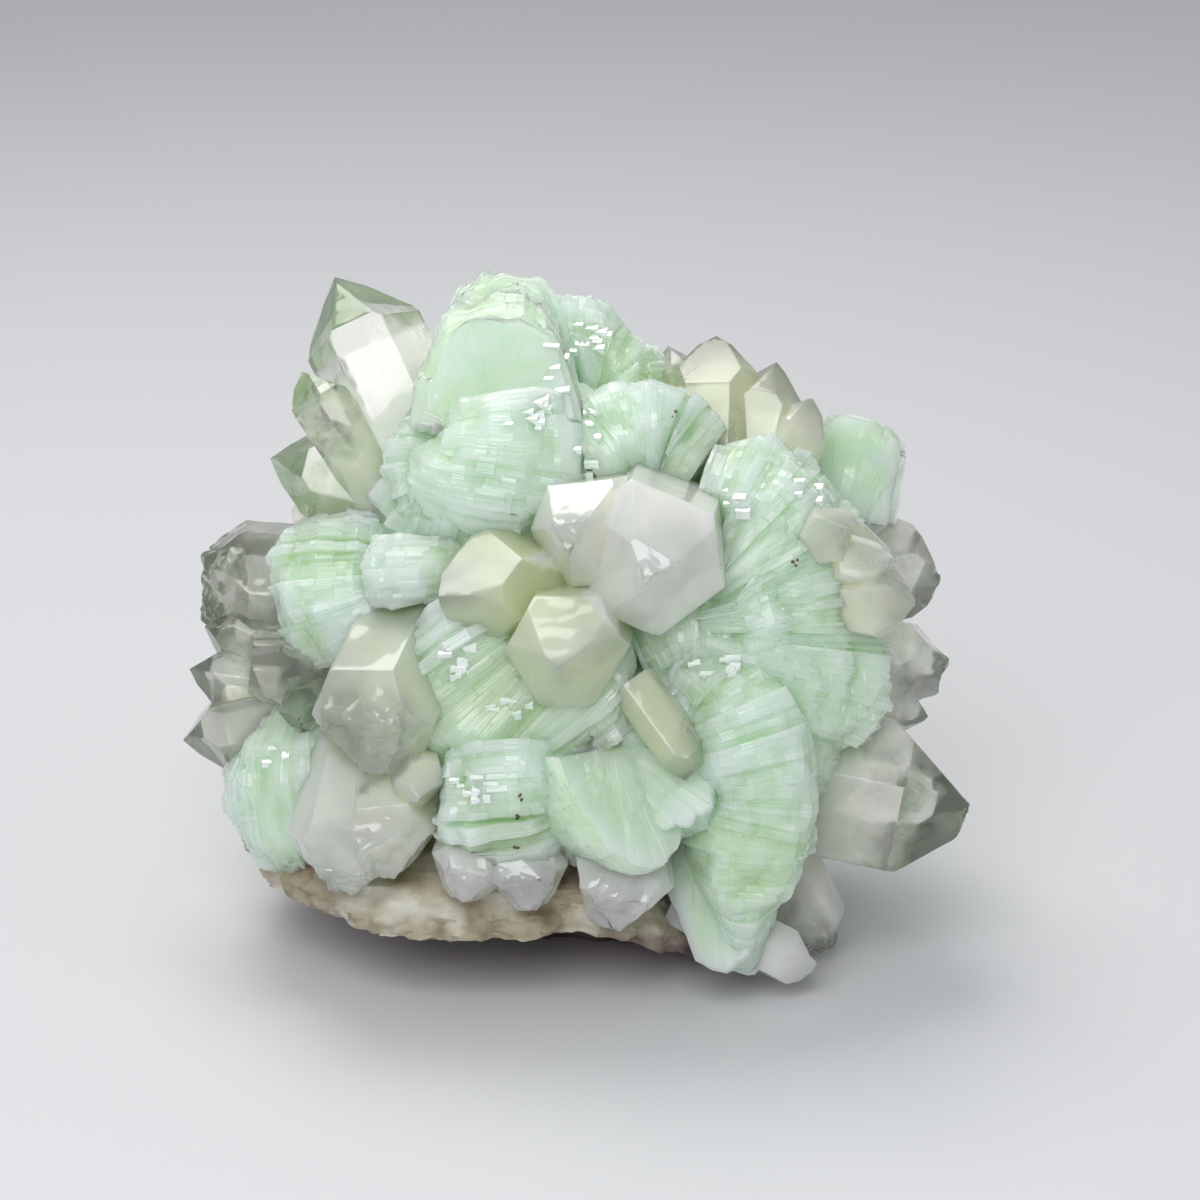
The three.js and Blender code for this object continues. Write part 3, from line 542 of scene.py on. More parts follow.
def through(values, at):
    """A smooth curve through the values, read at fractions of the way along."""
    values = np.array(values, float)
    values = values.reshape(len(values), -1)
    ends = np.concatenate([2 * values[:1] - values[1:2], values, 2 * values[-1:] - values[-2:-1]])
    spot = np.clip(at, 0, 1) * (len(values) - 1)
    first = np.minimum(spot.astype(int), len(values) - 2)
    part = (spot - first)[:, None]
    before, start, stop, after = (ends[first + k] for k in range(4))
    return 0.5 * (2 * start + (stop - before) * part
                  + (2 * before - 5 * start + 4 * stop - after) * part ** 2
                  + (3 * start - before - 3 * stop + after) * part ** 3)


def unit(vectors):
    """The vectors at a length of one."""
    return vectors / np.linalg.norm(vectors, axis=-1, keepdims=True)


def leaf_edges(crests, leaf, seed):
    """Where the two edges of each leaf stand: along the ridge in millimetres, and as shares of the way."""
    fine = np.linspace(0, 1, FINE_STEPS * len(crests))
    steps = np.linalg.norm(np.diff(through(crests, fine), axis=0), axis=1)
    walked = np.concatenate([[0], np.cumsum(steps)])
    leaves = max(4, round(walked[-1] / leaf))
    thickness = 1 + LEAF_UNEVEN * unevenness(np.arange(leaves), seed)
    borders = np.concatenate([[0], np.cumsum(thickness)]) * walked[-1] / thickness.sum()
    edges = np.stack([borders[:-1], borders[:-1] + LEAF_FILL * np.diff(borders)], axis=1).reshape(-1)
    return edges, np.interp(edges, walked, fine)


def broad_face(rim, middle, outward, streak, seed):
    """The open face of the last leaf of a ridge: rings from its rim in to its middle, with fine ribs."""
    rings = []
    for shrink in BROAD_FACE_RINGS:
        ring = middle + (rim - middle) * shrink
        uneven = 0.9 * patchy(ring, 2.6, seed) + 0.5 * patchy(ring, 0.9, seed)
        terrace = np.clip(np.floor(TERRACES * (1 - shrink) + uneven), 0, 4)
        ribs = (RIB_HEIGHT * streak + FACE_SWELL * patchy(ring, 2.2, seed)) * shrink
        rings.append(ring + outward * (TERRACE_HEIGHT * terrace + ribs)[:, None])
    rings.append(middle[None, :])
    return np.concatenate(rings)


def prehnite_ridge(plates, squareness, leaf, seed):
    """A ridge of thin leaves that stand on edge side by side, as one closed surface.

    Gives its points, its faces and, for each point, how far out it lies and its place in the stack."""
    crests, outs, depths, widths = (list(values) for values in zip(*plates))
    edges, at = leaf_edges(crests, leaf, seed)
    number = np.repeat(np.arange(len(at) // 2), 2)[:, None]
    side = np.tile((-1, 1), len(at) // 2)[:, None]
    bundle = number // LEAVES_IN_BUNDLE
    book = np.floor(number / LEAVES_IN_BOOK + 0.3 * unevenness(seed, number // LEAVES_IN_BOOK))
    out = unit(through(outs, at))
    tangent = unit(through(crests, at + 0.01) - through(crests, at - 0.01))
    along = unit(np.cross(tangent, out))
    depth = through(depths, at) + BOOK_STEP * unevenness(seed, book) + LEAF_STEP * unevenness(seed, number)
    width = through(widths, at) + 2 * BOOK_STEP * unevenness(book, seed)
    around = np.mean(widths) + RIM_TO_DEPTH * np.mean(depths)
    blocks = max(6, round(around / (RIM_BLOCK * leaf / LEAF)))
    border = np.arange(blocks + 1)[None, :]
    cells = (border + BLOCK_UNEVEN * unevenness(seed + 3.1 * bundle, border)) / blocks
    cells[:, 0] = 0
    cells[:, -1] = 1
    size = cells[:, 1:] - cells[:, :-1]
    share = np.stack([cells[:, :-1] + BLOCK_GAP * size, cells[:, 1:] - BLOCK_GAP * size], axis=2)
    share = RIM_MARGIN + (1 - 2 * RIM_MARGIN) * share.reshape(len(at), -1)
    block = np.repeat(np.arange(blocks), 2)[None, :]
    end = np.tile((-1, 1), blocks)[None, :]
    spread = np.stack(np.broadcast_arrays(edges[:, None], share * around, seed), axis=2).reshape(-1, 3)
    broken = USUALLY_BROKEN + 2.5 * patchy(spread, 4.5, seed + 9)
    broken = np.clip(broken, LEAST_BROKEN, 1).reshape(share.shape)
    stepped = (BUNDLE_STEP * unevenness(seed + bundle, block)
               + BLOCK_STEP * unevenness(number + seed, block + 40))
    tilted = (LEAF_TILT * side * unevenness(number + 3.7 * seed, block + 80)
              + BLOCK_TILT * end * unevenness(number + 7.9 * seed, block + 120))
    lobed = LOBE * patchy(spread, 3.6, seed) + SMALL_LOBE * patchy(spread, 1.5, seed + 3)
    reach = 1 + (broken * (stepped + tilted) + lobed.reshape(share.shape)) * leaf / LEAF / np.mean(depths)
    angle = np.pi * share
    aside = -np.sign(np.cos(angle)) * np.abs(np.cos(angle)) ** squareness
    base = through(crests, at) - out * through(depths, at)
    points = base[:, None, :] + (0.5 * width * aside * reach)[..., None] * along[:, None, :]
    points = points + (depth * np.sin(angle) ** squareness * reach)[..., None] * out[:, None, :]
    points[..., 2] = np.maximum(points[..., 2], LOWEST_LEAF)
    rows, columns = share.shape
    faces = loft((rows, columns))
    places = [points.reshape(-1, 3)]
    outness = [(depth / through(depths, at) * reach).reshape(-1)]
    height = [np.repeat(edges, columns)]
    streak = unevenness(np.arange(columns) // 2, seed)
    first = rows * columns
    for row, outward in ((0, -1), (rows - 1, 1)):
        places.append(broad_face(points[row], base[row], outward * tangent[row], streak, seed))
        inward = np.repeat((*BROAD_FACE_RINGS, 0), (*[columns] * len(BROAD_FACE_RINGS), 1))
        # The open face pales towards its rim: painted light.
        painted_rim_light = FACE_OUTNESS + FACE_RIM_OUTNESS * inward
        outness.append(painted_rim_light + FACE_PATCHES * patchy(places[-1], 1.6, seed))
        height.append(np.append(np.tile(share[row] * around, len(BROAD_FACE_RINGS)), 0))
        starts = [row * columns] + [first + ring * columns for ring in range(len(BROAD_FACE_RINGS))]
        middle = first + len(BROAD_FACE_RINGS) * columns
        for k in range(columns):
            after = (k + 1) % columns
            strip = [(rim + k, rim + after, inner + after, inner + k)
                     for rim, inner in zip(starts, starts[1:])]
            strip.append((starts[-1] + k, starts[-1] + after, middle))
            faces += [face[::outward] for face in strip]
        first += len(places[-1])
    return np.concatenate(places), faces, np.concatenate(outness), np.concatenate(height)


def rough_lump(centre, half):
    """The inner mass that the ridges stand on, rough with the ends of small stacked crystals.

    Gives its points, its faces and how far out each point lies."""
    ball = bmesh.new()
    bmesh.ops.create_icosphere(ball, subdivisions=6, radius=1)
    outward = np.array([tuple(vertex.co) for vertex in ball.verts])
    faces = [tuple(vertex.index for vertex in face.verts) for face in ball.faces]
    ball.free()
    points = outward * np.array(half) + np.array(centre)
    stack = np.floor((points @ LUMP_STACK + 2.5 * patchy(points, 7, 1)) / LUMP_LEAF)
    bundle = np.round(1.5 * patchy(points, 3.5, 2))
    swell = LUMP_SWELL * patchy(points, 3.2, 3)
    raised = LUMP_STEP * unevenness(stack, bundle) + swell + LUMP_KNOB * patchy(points, 1.2, 5)
    # The colour value pales the raised knobs and darkens the dips: painted light and painted shade.
    return points + outward * raised[:, None], faces, LUMP_OUTNESS + LUMP_RIM_OUTNESS * raised


def grown_together(name, pieces):
    """Joins closed solids that cross each other into one, two by two."""
    while len(pieces) > 1:
        joined = []
        for whole, piece in zip(pieces[::2], pieces[1::2]):
            join = whole.modifiers.new("join", "BOOLEAN")
            join.operation = "UNION"
            join.solver = "MANIFOLD"
            join.object = piece
            joined_shape = whole.evaluated_get(bpy.context.evaluated_depsgraph_get())
            shape = bpy.data.meshes.new_from_object(joined_shape)
            whole.modifiers.clear()
            whole.data = shape
            bpy.data.objects.remove(piece)
            joined.append(whole)
        pieces = joined + pieces[len(joined) * 2:]
    whole = pieces[0]
    whole.name = name
    whole.data.name = name
    whole.data.materials.clear()
    return whole


def prehnite_material():
    material, shader, join = new_material("pale_green_prehnite", IOR=PREHNITE_IOR, Subsurface_Weight=0.9,
                                          Subsurface_Radius=(1.0, 1.2, 0.9), Subsurface_Scale=5.0 * MM)
    place = new_node(material, "TexCoord")
    cloud = new_node(material, "TexNoise", Scale=110, Detail=4)
    uneven = new_sum(material, "MULTIPLY_ADD")
    uneven.inputs[1].default_value = 0.5
    green = new_ramp(material, PREHNITE_GREEN_AND_HOLLOW_SHADE)
    lines = new_node(material, "TexNoise", Scale=5.5, Detail=2)
    lines.noise_dimensions = "1D"
    grain = new_node(material, "TexNoise", Scale=1400)
    heights = new_sum(material)
    bump = new_node(material, "Bump", Strength=0.5, Distance=0.1 * MM)
    gloss = new_node(material, "MapRange", To_Min=0.08, To_Max=0.36)
    for node in (cloud, grain):
        join(place.outputs["Object"], node.inputs["Vector"])
    join(cloud.outputs["Fac"], uneven.inputs[0])
    # The rim value darkens the green in hollows as painted shade and pales it on outer rims as painted
    # light.
    join(kept_value(material, "rim"), uneven.inputs[2])
    join(uneven.outputs["Value"], green.inputs["Fac"])
    join(green.outputs["Color"], shader.inputs["Base Color"])
    join(kept_value(material, "stack"), lines.inputs["W"])
    join(lines.outputs["Fac"], heights.inputs[0])
    join(grain.outputs["Fac"], heights.inputs[1])
    join(heights.outputs["Value"], bump.inputs["Height"])
    join(bump.outputs["Normal"], shader.inputs["Normal"])
    join(cloud.outputs["Fac"], gloss.inputs["Value"])
    join(gloss.outputs["Result"], shader.inputs["Roughness"])
    return material


rim_points = kdtree.KDTree(MOST_RIM_POINTS)
rim_values = []


def grown_ridge(plates, squareness, leaf, seed):
    """A ridge as its own solid, with its rim and stack values kept for the joined mass."""
    ridge_points, ridge_faces, outness, stack_height = prehnite_ridge(plates, squareness, leaf, seed)
    for point, value, height in zip(ridge_points.tolist(), outness.tolist(), stack_height.tolist()):
        rim_points.insert(point, len(rim_values))
        rim_values.append((value, height))
    return solid("ridge", ridge_points, ridge_faces)


ridges = [grown_ridge(ridge_plates(plates), squareness, LEAF, number + 1)
          for number, (squareness, plates) in enumerate(PREHNITE_RIDGES.values())]
ridges += [grown_ridge(book_plates(fan), BACK_SQUARENESS, BACK_LEAF, number + 40)
           for number, fan in enumerate(BACK_FANS)]
for lump in PREHNITE_LUMPS:
    lump_points, lump_faces, lump_outness = rough_lump(**lump)
    ridges.append(solid("lump", lump_points, lump_faces))
    for point, value in zip(lump_points.tolist(), lump_outness.tolist()):
        rim_points.insert(point, len(rim_values))
        rim_values.append((value, 0))
rim_points.balance()
prehnite = grown_together("prehnite_ridges", ridges)
found = [rim_values[rim_points.find(point)[1]] for point in vertices_of(prehnite).tolist()]
# How far out each vertex lies sets how dark or pale its green is: painted shade and painted light.
keep_value(prehnite, "rim", [(value - RIM_START) / RIM_SPAN for value, height in found])
keep_value(prehnite, "stack", [height for value, height in found])
smooth(prehnite, LEAF_SHARP_ANGLE)
prehnite.data.materials.append(prehnite_material())
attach(prehnite, "root")
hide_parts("prehnite")

# Open leaf ends of the prehnite: small flat ends that all lie turned towards the light, so that they
# flash. Their colour is the pale crystal whitened nearly to white, a painted highlight, under a polish like
# glass.
LEAF_ENDS = [
    # Each patch has its place, right and up as seen, how far it spreads, and its number of ends.
    ((-6.0, 15.0), (1.7, 1.3), 10),
    ((-3.4, 18.6), (0.9, 2.2), 5),
    ((-0.5, 21.0), (2.2, 1.2), 9),
    ((-1.2, 12.6), (1.2, 3.0), 6),
    ((9.2, -5.2), (1.6, 0.8), 8),
    ((10.8, 8.0), (0.8, 1.0), 4),
    ((16.8, 8.8), (1.0, 1.0), 4),
    ((-10.0, -15.0), (1.7, 1.0), 8),
    ((-25.6, -12.4), (1.0, 0.8), 3),
    ((-6.6, -8.5), (2.2, 0.6), 5),
    ((-11.6, -4.8), (1.4, 1.4), 5),
]
LEAF_END_HALF = (0.46, 0.24, 0.3)
LEAF_END_PROUD = 0.08
LEAF_END_TILT = 0.05
LEAF_END_TURN = 0.06
LEAF_END_UNEVEN = 0.4
# Near-white colours of the leaf ends: a painted highlight.
LEAF_END_PAINTED_HIGHLIGHT = [(0.3, (0.80, 0.90, 0.84)), (0.6, (0.97, 1.0, 0.99))]
BOX_FACES = ((0, 2, 3, 1), (4, 5, 7, 6), (0, 1, 5, 4), (2, 6, 7, 3), (0, 4, 6, 2), (1, 3, 7, 5))


def surface_seen(tree, place):
    """Where the sight line through a place, right and up, first meets the surface."""
    eye = AIM + EYE_DISTANCE * TO_EYE
    sight = unit(seen((*place, 0)) - eye)
    point, _, _, _ = tree.ray_cast(Vector(eye * MM), Vector(sight))
    if point is None:
        raise ValueError(f"nothing is seen at {place}")
    return np.array(point) / MM


def leaf_end(tree, place, number):
    """The corners of one flat leaf end, half sunk in the surface."""
    spot = surface_seen(tree, place)
    face = unit(KEY_LIGHT - spot) + unit(AIM + EYE_DISTANCE * TO_EYE - spot)
    face = unit(face + LEAF_END_TILT * np.array([unevenness(number, axis) for axis in range(3)]))
    level = unit(np.cross(face, TO_TOP) + LEAF_END_TURN * TO_TOP * unevenness(number, 5))
    rising = np.cross(face, level)
    half = np.array(LEAF_END_HALF) * (1 + LEAF_END_UNEVEN * unevenness(number, np.arange(3)))
    centre = spot - face * (half[2] - LEAF_END_PROUD)
    corners = []
    for out, up in ((-1, -1), (-1, 1), (1, -1), (1, 1)):
        for across in (-1, 1):
            corners.append(centre + face * half[2] * out + rising * half[1] * up + level * half[0] * across)
    return corners


def mottled(name, scale, stops, **values):
    """A material whose colour varies from spot to spot."""
    material, shader, join = new_material(name, **values)
    place = new_node(material, "TexCoord")
    spots = new_node(material, "TexNoise", Scale=scale)
    ramp = new_ramp(material, stops)
    join(place.outputs["Object"], spots.inputs["Vector"])
    join(spots.outputs["Fac"], ramp.inputs["Fac"])
    join(ramp.outputs["Color"], shader.inputs["Base Color"])
    return material


prehnite_tree = bvhtree.BVHTree.FromObject(prehnite, bpy.context.evaluated_depsgraph_get())
end_points = []
end_faces = []
for patch_number, (place, spread, ends) in enumerate(LEAF_ENDS):
    for number in range(ends):
        key = 20 * patch_number + number
        row = number - (ends - 1) / 2
        right = place[0] + spread[0] * unevenness(key, 1)
        up = place[1] + spread[1] * 2 * row / ends
        first = len(end_points)
        end_points += leaf_end(prehnite_tree, (right, up), key)
        end_faces += [tuple(first + corner for corner in face) for face in BOX_FACES]
leaf_ends = solid("prehnite_leaf_ends", end_points, end_faces)
# The leaf ends' whitened colour is a painted highlight.
leaf_ends.data.materials.append(mottled("prehnite_ends_painted_highlight", 900, LEAF_END_PAINTED_HIGHLIGHT, IOR=PREHNITE_IOR,
                                        Roughness=0.06, Coat_Weight=1.0, Coat_Roughness=0.03))
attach(leaf_ends, "root")

# Specks: grains of brown rock that broke off the matrix and caught in the hollows of the crystals.
# Each is three rough grains, about a quarter of a millimetre across, that sit on the prehnite.
SPECKS = [(6.0, 14.8), (1.6, -2.4), (-6.2, -15.8), (-6.6, -17.4), (4.4, -22.4), (-6.8, -19.8), (15.6, 3.0)]

SPECK_GRAINS = 3
SPECK_SPREAD = 0.28
SPECK_RADIUS = 0.12
SPECK_BROWN = [(0, (0.07, 0.04, 0.02)), (1, (0.22, 0.16, 0.09))]
speck_points = []
speck_faces = []
for number, place in enumerate(SPECKS):
    for grain_number in range(SPECK_GRAINS):
        shift = SPECK_SPREAD * unevenness(number + 0.5, grain_number + np.array([0, 7]))
        spot = surface_seen(prehnite_tree, tuple(np.array(place) + shift))
        ball = bmesh.new()
        radius = SPECK_RADIUS + 0.04 * unevenness(number, grain_number)
        bmesh.ops.create_icosphere(ball, subdivisions=2, radius=radius)
        first = len(speck_points)
        grain_points = np.array([tuple(vertex.co) for vertex in ball.verts])
        grain_points *= 1 + 0.3 * patchy(grain_points + number, 0.14)[:, None]
        speck_points += (spot + grain_points).tolist()
        speck_faces += [tuple(first + vertex.index for vertex in face.verts) for face in ball.faces]
        ball.free()
specks = solid("brown_specks", speck_points, speck_faces)
specks.data.materials.append(mottled("brown_rock_dust", 3000, SPECK_BROWN, Roughness=0.85))
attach(specks, "root")

# Quartz: six-sided points that grew among the prehnite. Most are clear or pale yellow towards the
# tip and milky with small flaws at the root, and some ends were knocked off long ago.
QUARTZ_TIP_SLOPE = math.radians(51.8)
QUARTZ_UNEVEN = 0.08
SMALL_FACE_SET_BACK = 0.09
FACE_SET_BACK = 0.03
UNCUT_SIZE = 160
CHIP_TURN = 0.4
CHIP_SLOPE = 0.55
CHIP_REACH = 0.36
CHIP_BACK = 0.3
EDGE_WEAR = 0.06
LONGEST_EDGES = (4.0, 2.0, 1.0, 0.6)
FACE_WAVE = 0.05
FACE_RIPPLE = 0.02
BREAK_LUMP = 0.3
BREAK_STEP = 0.15
QUARTZ_SHARP_ANGLE = 15
QUARTZ_GROUPS = {
    # Each group has its slot and its crystals, placed by tip and root as seen from the front.
    "quartz_upper_left": ("clear_quartz", [
        dict(tip=(-21.0, 25.4, -1), root=(-13.6, 9.5, 1), width=8.6, turn=12, clear=0.5),
        dict(tip=(-23.7, 18.0, 3), root=(-16.0, 6.0, 3), width=4.6, turn=30, olive=0.3, clear=0.3),
        dict(tip=(-26.0, 11.2, 1), root=(-15.5, 8.6, 1.5), width=6.6, turn=5, olive=0.2, clear=0.5),
    ]),
    # These clear crystals take a grey finish: the dark backdrop seen through them, painted into their
    # colour.
    "quartz_left": ("smoky_quartz", [
        dict(tip=(-34.0, 1.8, -4), root=(-20.0, 0.8, -5), width=10, turn=20, blunt=2.4),
        dict(tip=(-31.6, -2.2, -1), root=(-24.0, -5.0, 0), width=3.4),
        dict(tip=(-32.6, -5.6, -1), root=(-23.0, -7.0, 0), width=4.2, turn=25),
        dict(tip=(-33.1, -11.2, -2), root=(-22.0, -8.6, 0), width=5.6, turn=10),
        dict(tip=(-27.6, -3.6, 6), root=(-22.0, -7.4, -2), width=6.2, turn=15),
        dict(tip=(-24.2, -9.4, 8), root=(-22.0, -7.0, 0), width=3.6, turn=40),
    ]),
    "quartz_centre": ("cream_quartz", [
        dict(tip=(3.6, 2.4, 20.5), root=(4.8, 5.2, 6), width=10.8, turn=7, blunt=0.5,
             lean=(0, 0.3, 0)),
        dict(tip=(-2.8, 5.0, 17.5), root=(2.5, 6.4, 5), width=8.2, turn=35, blunt=0.6, olive=0.2),
        dict(tip=(-3.0, -5.2, 19.5), root=(-1.6, -1.4, 5), width=8.0, turn=30, olive=0.7, clear=0.15),
        dict(tip=(-12.6, 0.6, 15), root=(-2, 1.2, 6), width=8.2, olive=1, clear=0.25),
    ]),
    "quartz_slim": ("yellow_quartz", [
        dict(tip=(8.0, -14.0, 14.2), root=(2.6, -6.6, 12.5), width=3.4, turn=30, blunt=0.6,
             olive=0.3, clear=0.25, chips=3),
    ]),
    "quartz_lower_left": ("cream_quartz", [
        dict(tip=(-19.6, -13.0, 16.2), root=(-14.6, -2.4, 4), width=8.8, turn=30, blunt=2.2,
             olive=0.35, clear=0.35),
        dict(tip=(-21.2, -24.0, 11.5), root=(-18.6, -12.0, 6), width=7.8, turn=10, blunt=1.6,
             clear=0.25, chips=6),
        dict(tip=(-17.0, -22.4, 13), root=(-17.2, -11.5, 5), width=7.0, turn=40, blunt=1.8,
             lean=(0.3, 0, 0.5), olive=0.2, clear=0.2, chips=5),
        dict(tip=(-14.4, -15.6, 14.5), root=(-15.4, -10.0, 5), width=3.8, turn=20, olive=0.8),
    ]),
    "quartz_upper_right": ("yellow_quartz", [
        dict(tip=(5.5, 20.2, -3), root=(8.0, 12.0, -2), width=4.4, turn=30),
        dict(tip=(9.4, 20.9, -1), root=(9.0, 9.0, 2), width=7.4, turn=28, clear=0.35),
        dict(tip=(14.0, 18.9, 0), root=(11.5, 9.0, 1), width=5.8, turn=30, clear=0.3),
        dict(tip=(16.9, 15.8, 1.5), root=(12.5, 8.0, 2), width=4.8, turn=10),
    ]),
    "quartz_right_yellow": ("yellow_quartz", [
        dict(tip=(19.6, 5.8, 14), root=(16.0, 4.0, 6), width=4.2, turn=30),
        dict(tip=(23.4, 3.4, 12.5), root=(16.0, 3.0, 6), width=5.4),
        dict(tip=(25.0, -0.3, 12), root=(16.5, 0.6, 6), width=6.2, turn=20),
    ]),
    "quartz_right_clear": ("clear_quartz", [
        dict(tip=(27.4, 0.4, -7), root=(16.0, 5.0, -8), width=8.4, turn=15, blunt=0.8),
        dict(tip=(28.2, -5.6, -4), root=(17.0, -3.4, -6), width=6.6, turn=30, blunt=0.8),
        dict(tip=(26.2, -9.2, -5), root=(18.0, -7.0, -7), width=3.4, turn=10),
    ]),
    "quartz_big_right": ("clear_quartz", [
        dict(tip=(29.8, -16.7, 2), root=(12.5, -13.4, 1), width=11.2, turn=28, blunt=0.4, clear=0.35),
        dict(tip=(18.2, -28.9, -2), root=(13.0, -18.0, -3), width=6.4, turn=15, blunt=1.2),
    ]),
    "quartz_foot": ("white_quartz", [
        dict(tip=(17.2, -29.6, 4.5), root=(6.0, -24.0, 3), width=4.4, turn=20, blunt=0.3),
    ]),
    "quartz_front": ("white_quartz", [
        dict(tip=(-11.0, -23.2, 13.5), root=(-9.0, -16.4, 4), width=5.4, turn=10, blunt=1.2, chips=5),
        dict(tip=(-6.2, -24.2, 13.5), root=(-5.0, -16.4, 4), width=5.6, turn=30, blunt=1.2, chips=4),
        dict(tip=(1.8, -26.4, 13), root=(0.6, -16.4, 4), width=8.4, turn=20, blunt=1.6, chips=6),
    ]),
    "quartz_back_top": ("clear_quartz", [
        dict(tip=(-6.0, 19.0, -20), root=(-3.0, 8.0, -9), width=7.6, turn=20, clear=0.1),
        dict(tip=(1.5, 20.5, -17), root=(0.5, 9.0, -10), width=5.6, turn=35),
    ]),
    "quartz_back_left": ("clear_quartz", [
        dict(tip=(-24.0, 7.0, -21), root=(-12.0, 3.6, -10), width=8.2, turn=10),
        dict(tip=(-25.5, -0.6, -18.5), root=(-13.0, 0.2, -11), width=6.0, turn=30),
    ]),
    "quartz_back_right": ("clear_quartz", [
        dict(tip=(18.5, -2.0, -22), root=(7.0, -1.0, -10), width=8.4, turn=25),
        dict(tip=(20.0, -9.4, -19), root=(8.5, -6.0, -10), width=5.6, turn=5),
    ]),
    "quartz_back_low": ("yellow_quartz", [
        dict(tip=(-7.0, -3.0, -27), root=(-4.0, -2.0, -11), width=7.8, turn=15),
        dict(tip=(-1.0, -6.0, -25), root=(-1.0, -3.0, -11), width=5.4, turn=40),
    ]),
}
QUARTZ_FINISHES = {
    "clear_quartz": {"body": (0.90, 0.91, 0.82), "tint": (0.92, 0.91, 0.82), "density": 16, "milk": 0.75,
              "clearest": 0.88, "cloudiest": 0.22, "haze": 0.14},
    # Grey body and strong absorption: a painted dark backdrop, seen through clear crystals.
    "smoky_quartz": {"body": (0.66, 0.68, 0.60), "tint": (0.70, 0.70, 0.58), "density": 32, "milk": 0.7,
              "clearest": 0.95, "cloudiest": 0.5, "haze": 0.1},
    "cream_quartz": {"body": (0.92, 0.96, 0.85), "tint": (0.94, 0.94, 0.80), "density": 24, "milk": 0.9,
              "clearest": 0.52, "cloudiest": 0.2, "haze": 0.42},
    "yellow_quartz": {"body": (0.89, 0.90, 0.69), "tint": (0.92, 0.88, 0.56), "density": 36, "milk": 0.8,
               "clearest": 0.7, "cloudiest": 0.25, "haze": 0.34},
    "white_quartz": {"body": (0.90, 0.90, 0.83), "tint": (0.92, 0.90, 0.84), "density": 20, "milk": 0.9,
              "clearest": 0.6, "cloudiest": 0.2, "haze": 0.38},
}
OLIVE_BODY = (0.76, 0.82, 0.50)
CLEAR_BODY = (0.97, 0.97, 0.95)
VEILS_START = 1.35
VEILS_FULL = 1.75
LEAST_HAZE = 0.4
MOST_HAZE = 1.4
COAT_ON_HAZE = 2


def quartz_point(name, root, tip, width, turn=0, blunt=0, lean=(0, 0, 0), chips=0, **inside):
    """One quartz crystal, cut out of a block by its prism faces, its tip faces and any break."""
    start = seen(root)
    end = seen(tip)
    axis = (end - start) / np.linalg.norm(end - start)
    side = np.cross(axis, TO_TOP)
    side /= np.linalg.norm(side)
    across = np.cross(axis, side)
    seed = math.floor(10 * (root[0] + 31 * root[1] + tip[0]) + 0.5)
    cuts = [(-axis, start)]
    for face in range(6):
        angle = math.radians(turn + 60 * face)
        out = side * math.cos(angle) + across * math.sin(angle)
        half = width / 2 * (1 + QUARTZ_UNEVEN * unevenness(seed, face))
        cuts.append((out, end + out * half))
        tip_face = axis * math.cos(QUARTZ_TIP_SLOPE) + out * math.sin(QUARTZ_TIP_SLOPE)
        set_back = (face % 2) * SMALL_FACE_SET_BACK * width
        set_back += FACE_SET_BACK * width * (1 + unevenness(face, seed))
        cuts.append((tip_face, end + tip_face * set_back))
    if blunt > 0:
        broken = axis + facing(lean)
        broken /= np.linalg.norm(broken)
        cuts.append((broken, end - broken * blunt))
    for chip in range(chips):
        turned = math.pi * (2 * chip / chips + CHIP_TURN * unevenness(chip, seed))
        away = side * math.cos(turned) + across * math.sin(turned)
        broken = axis * (CHIP_SLOPE + 0.5 * unevenness(seed, chip + 9)) + away
        broken /= np.linalg.norm(broken)
        reach = width * (CHIP_REACH + 0.06 * unevenness(chip, seed + 5)) * broken.dot(away)
        cuts.append((broken, end - axis * max(blunt, CHIP_BACK * width) + broken * reach))
    block = bmesh.new()
    bmesh.ops.create_cube(block, size=UNCUT_SIZE, matrix=Matrix.Translation(Vector((start + end) / 2)))
    for normal, place in cuts:
        whole = block.verts[:] + block.edges[:] + block.faces[:]
        cut = bmesh.ops.bisect_plane(block, geom=whole, plane_co=Vector(place), plane_no=Vector(normal),
                                     clear_outer=True, dist=1e-5)
        rim = [part for part in cut["geom_cut"] if isinstance(part, bmesh.types.BMEdge)]
        bmesh.ops.contextual_create(block, geom=rim)
    bmesh.ops.remove_doubles(block, verts=block.verts, dist=0.01)
    bmesh.ops.bevel(block, geom=block.edges[:], offset=EDGE_WEAR, segments=2, profile=0.6, affect="EDGES",
                    clamp_overlap=True)
    bmesh.ops.triangulate(block, faces=block.faces)
    for longest in LONGEST_EDGES:
        long_edges = [edge for edge in block.edges if edge.calc_length() > longest]
        bmesh.ops.subdivide_edges(block, edges=long_edges, cuts=1)
        bmesh.ops.triangulate(block, faces=block.faces)
    bmesh.ops.recalc_face_normals(block, faces=block.faces)
    block.normal_update()
    places = np.array([tuple(vertex.co) for vertex in block.verts])
    normals = np.array([tuple(vertex.normal) for vertex in block.verts])
    worn = FACE_WAVE * patchy(places, 2.4, seed % 17) + FACE_RIPPLE * patchy(places, 0.9, seed % 11)
    if blunt > 0:
        near_break = np.clip(1 - ((end - blunt * axis - places) @ axis) / (1.5 * blunt), 0, 1)
        steps = np.round(2 * patchy(places, 0.9, seed % 7))
        worn += near_break * (BREAK_LUMP * patchy(places, 1.8, seed % 13) + BREAK_STEP * steps)
    faces = [tuple(vertex.index for vertex in face.verts) for face in block.faces]
    block.free()
    return solid(name, places + normals * worn[:, None], faces)


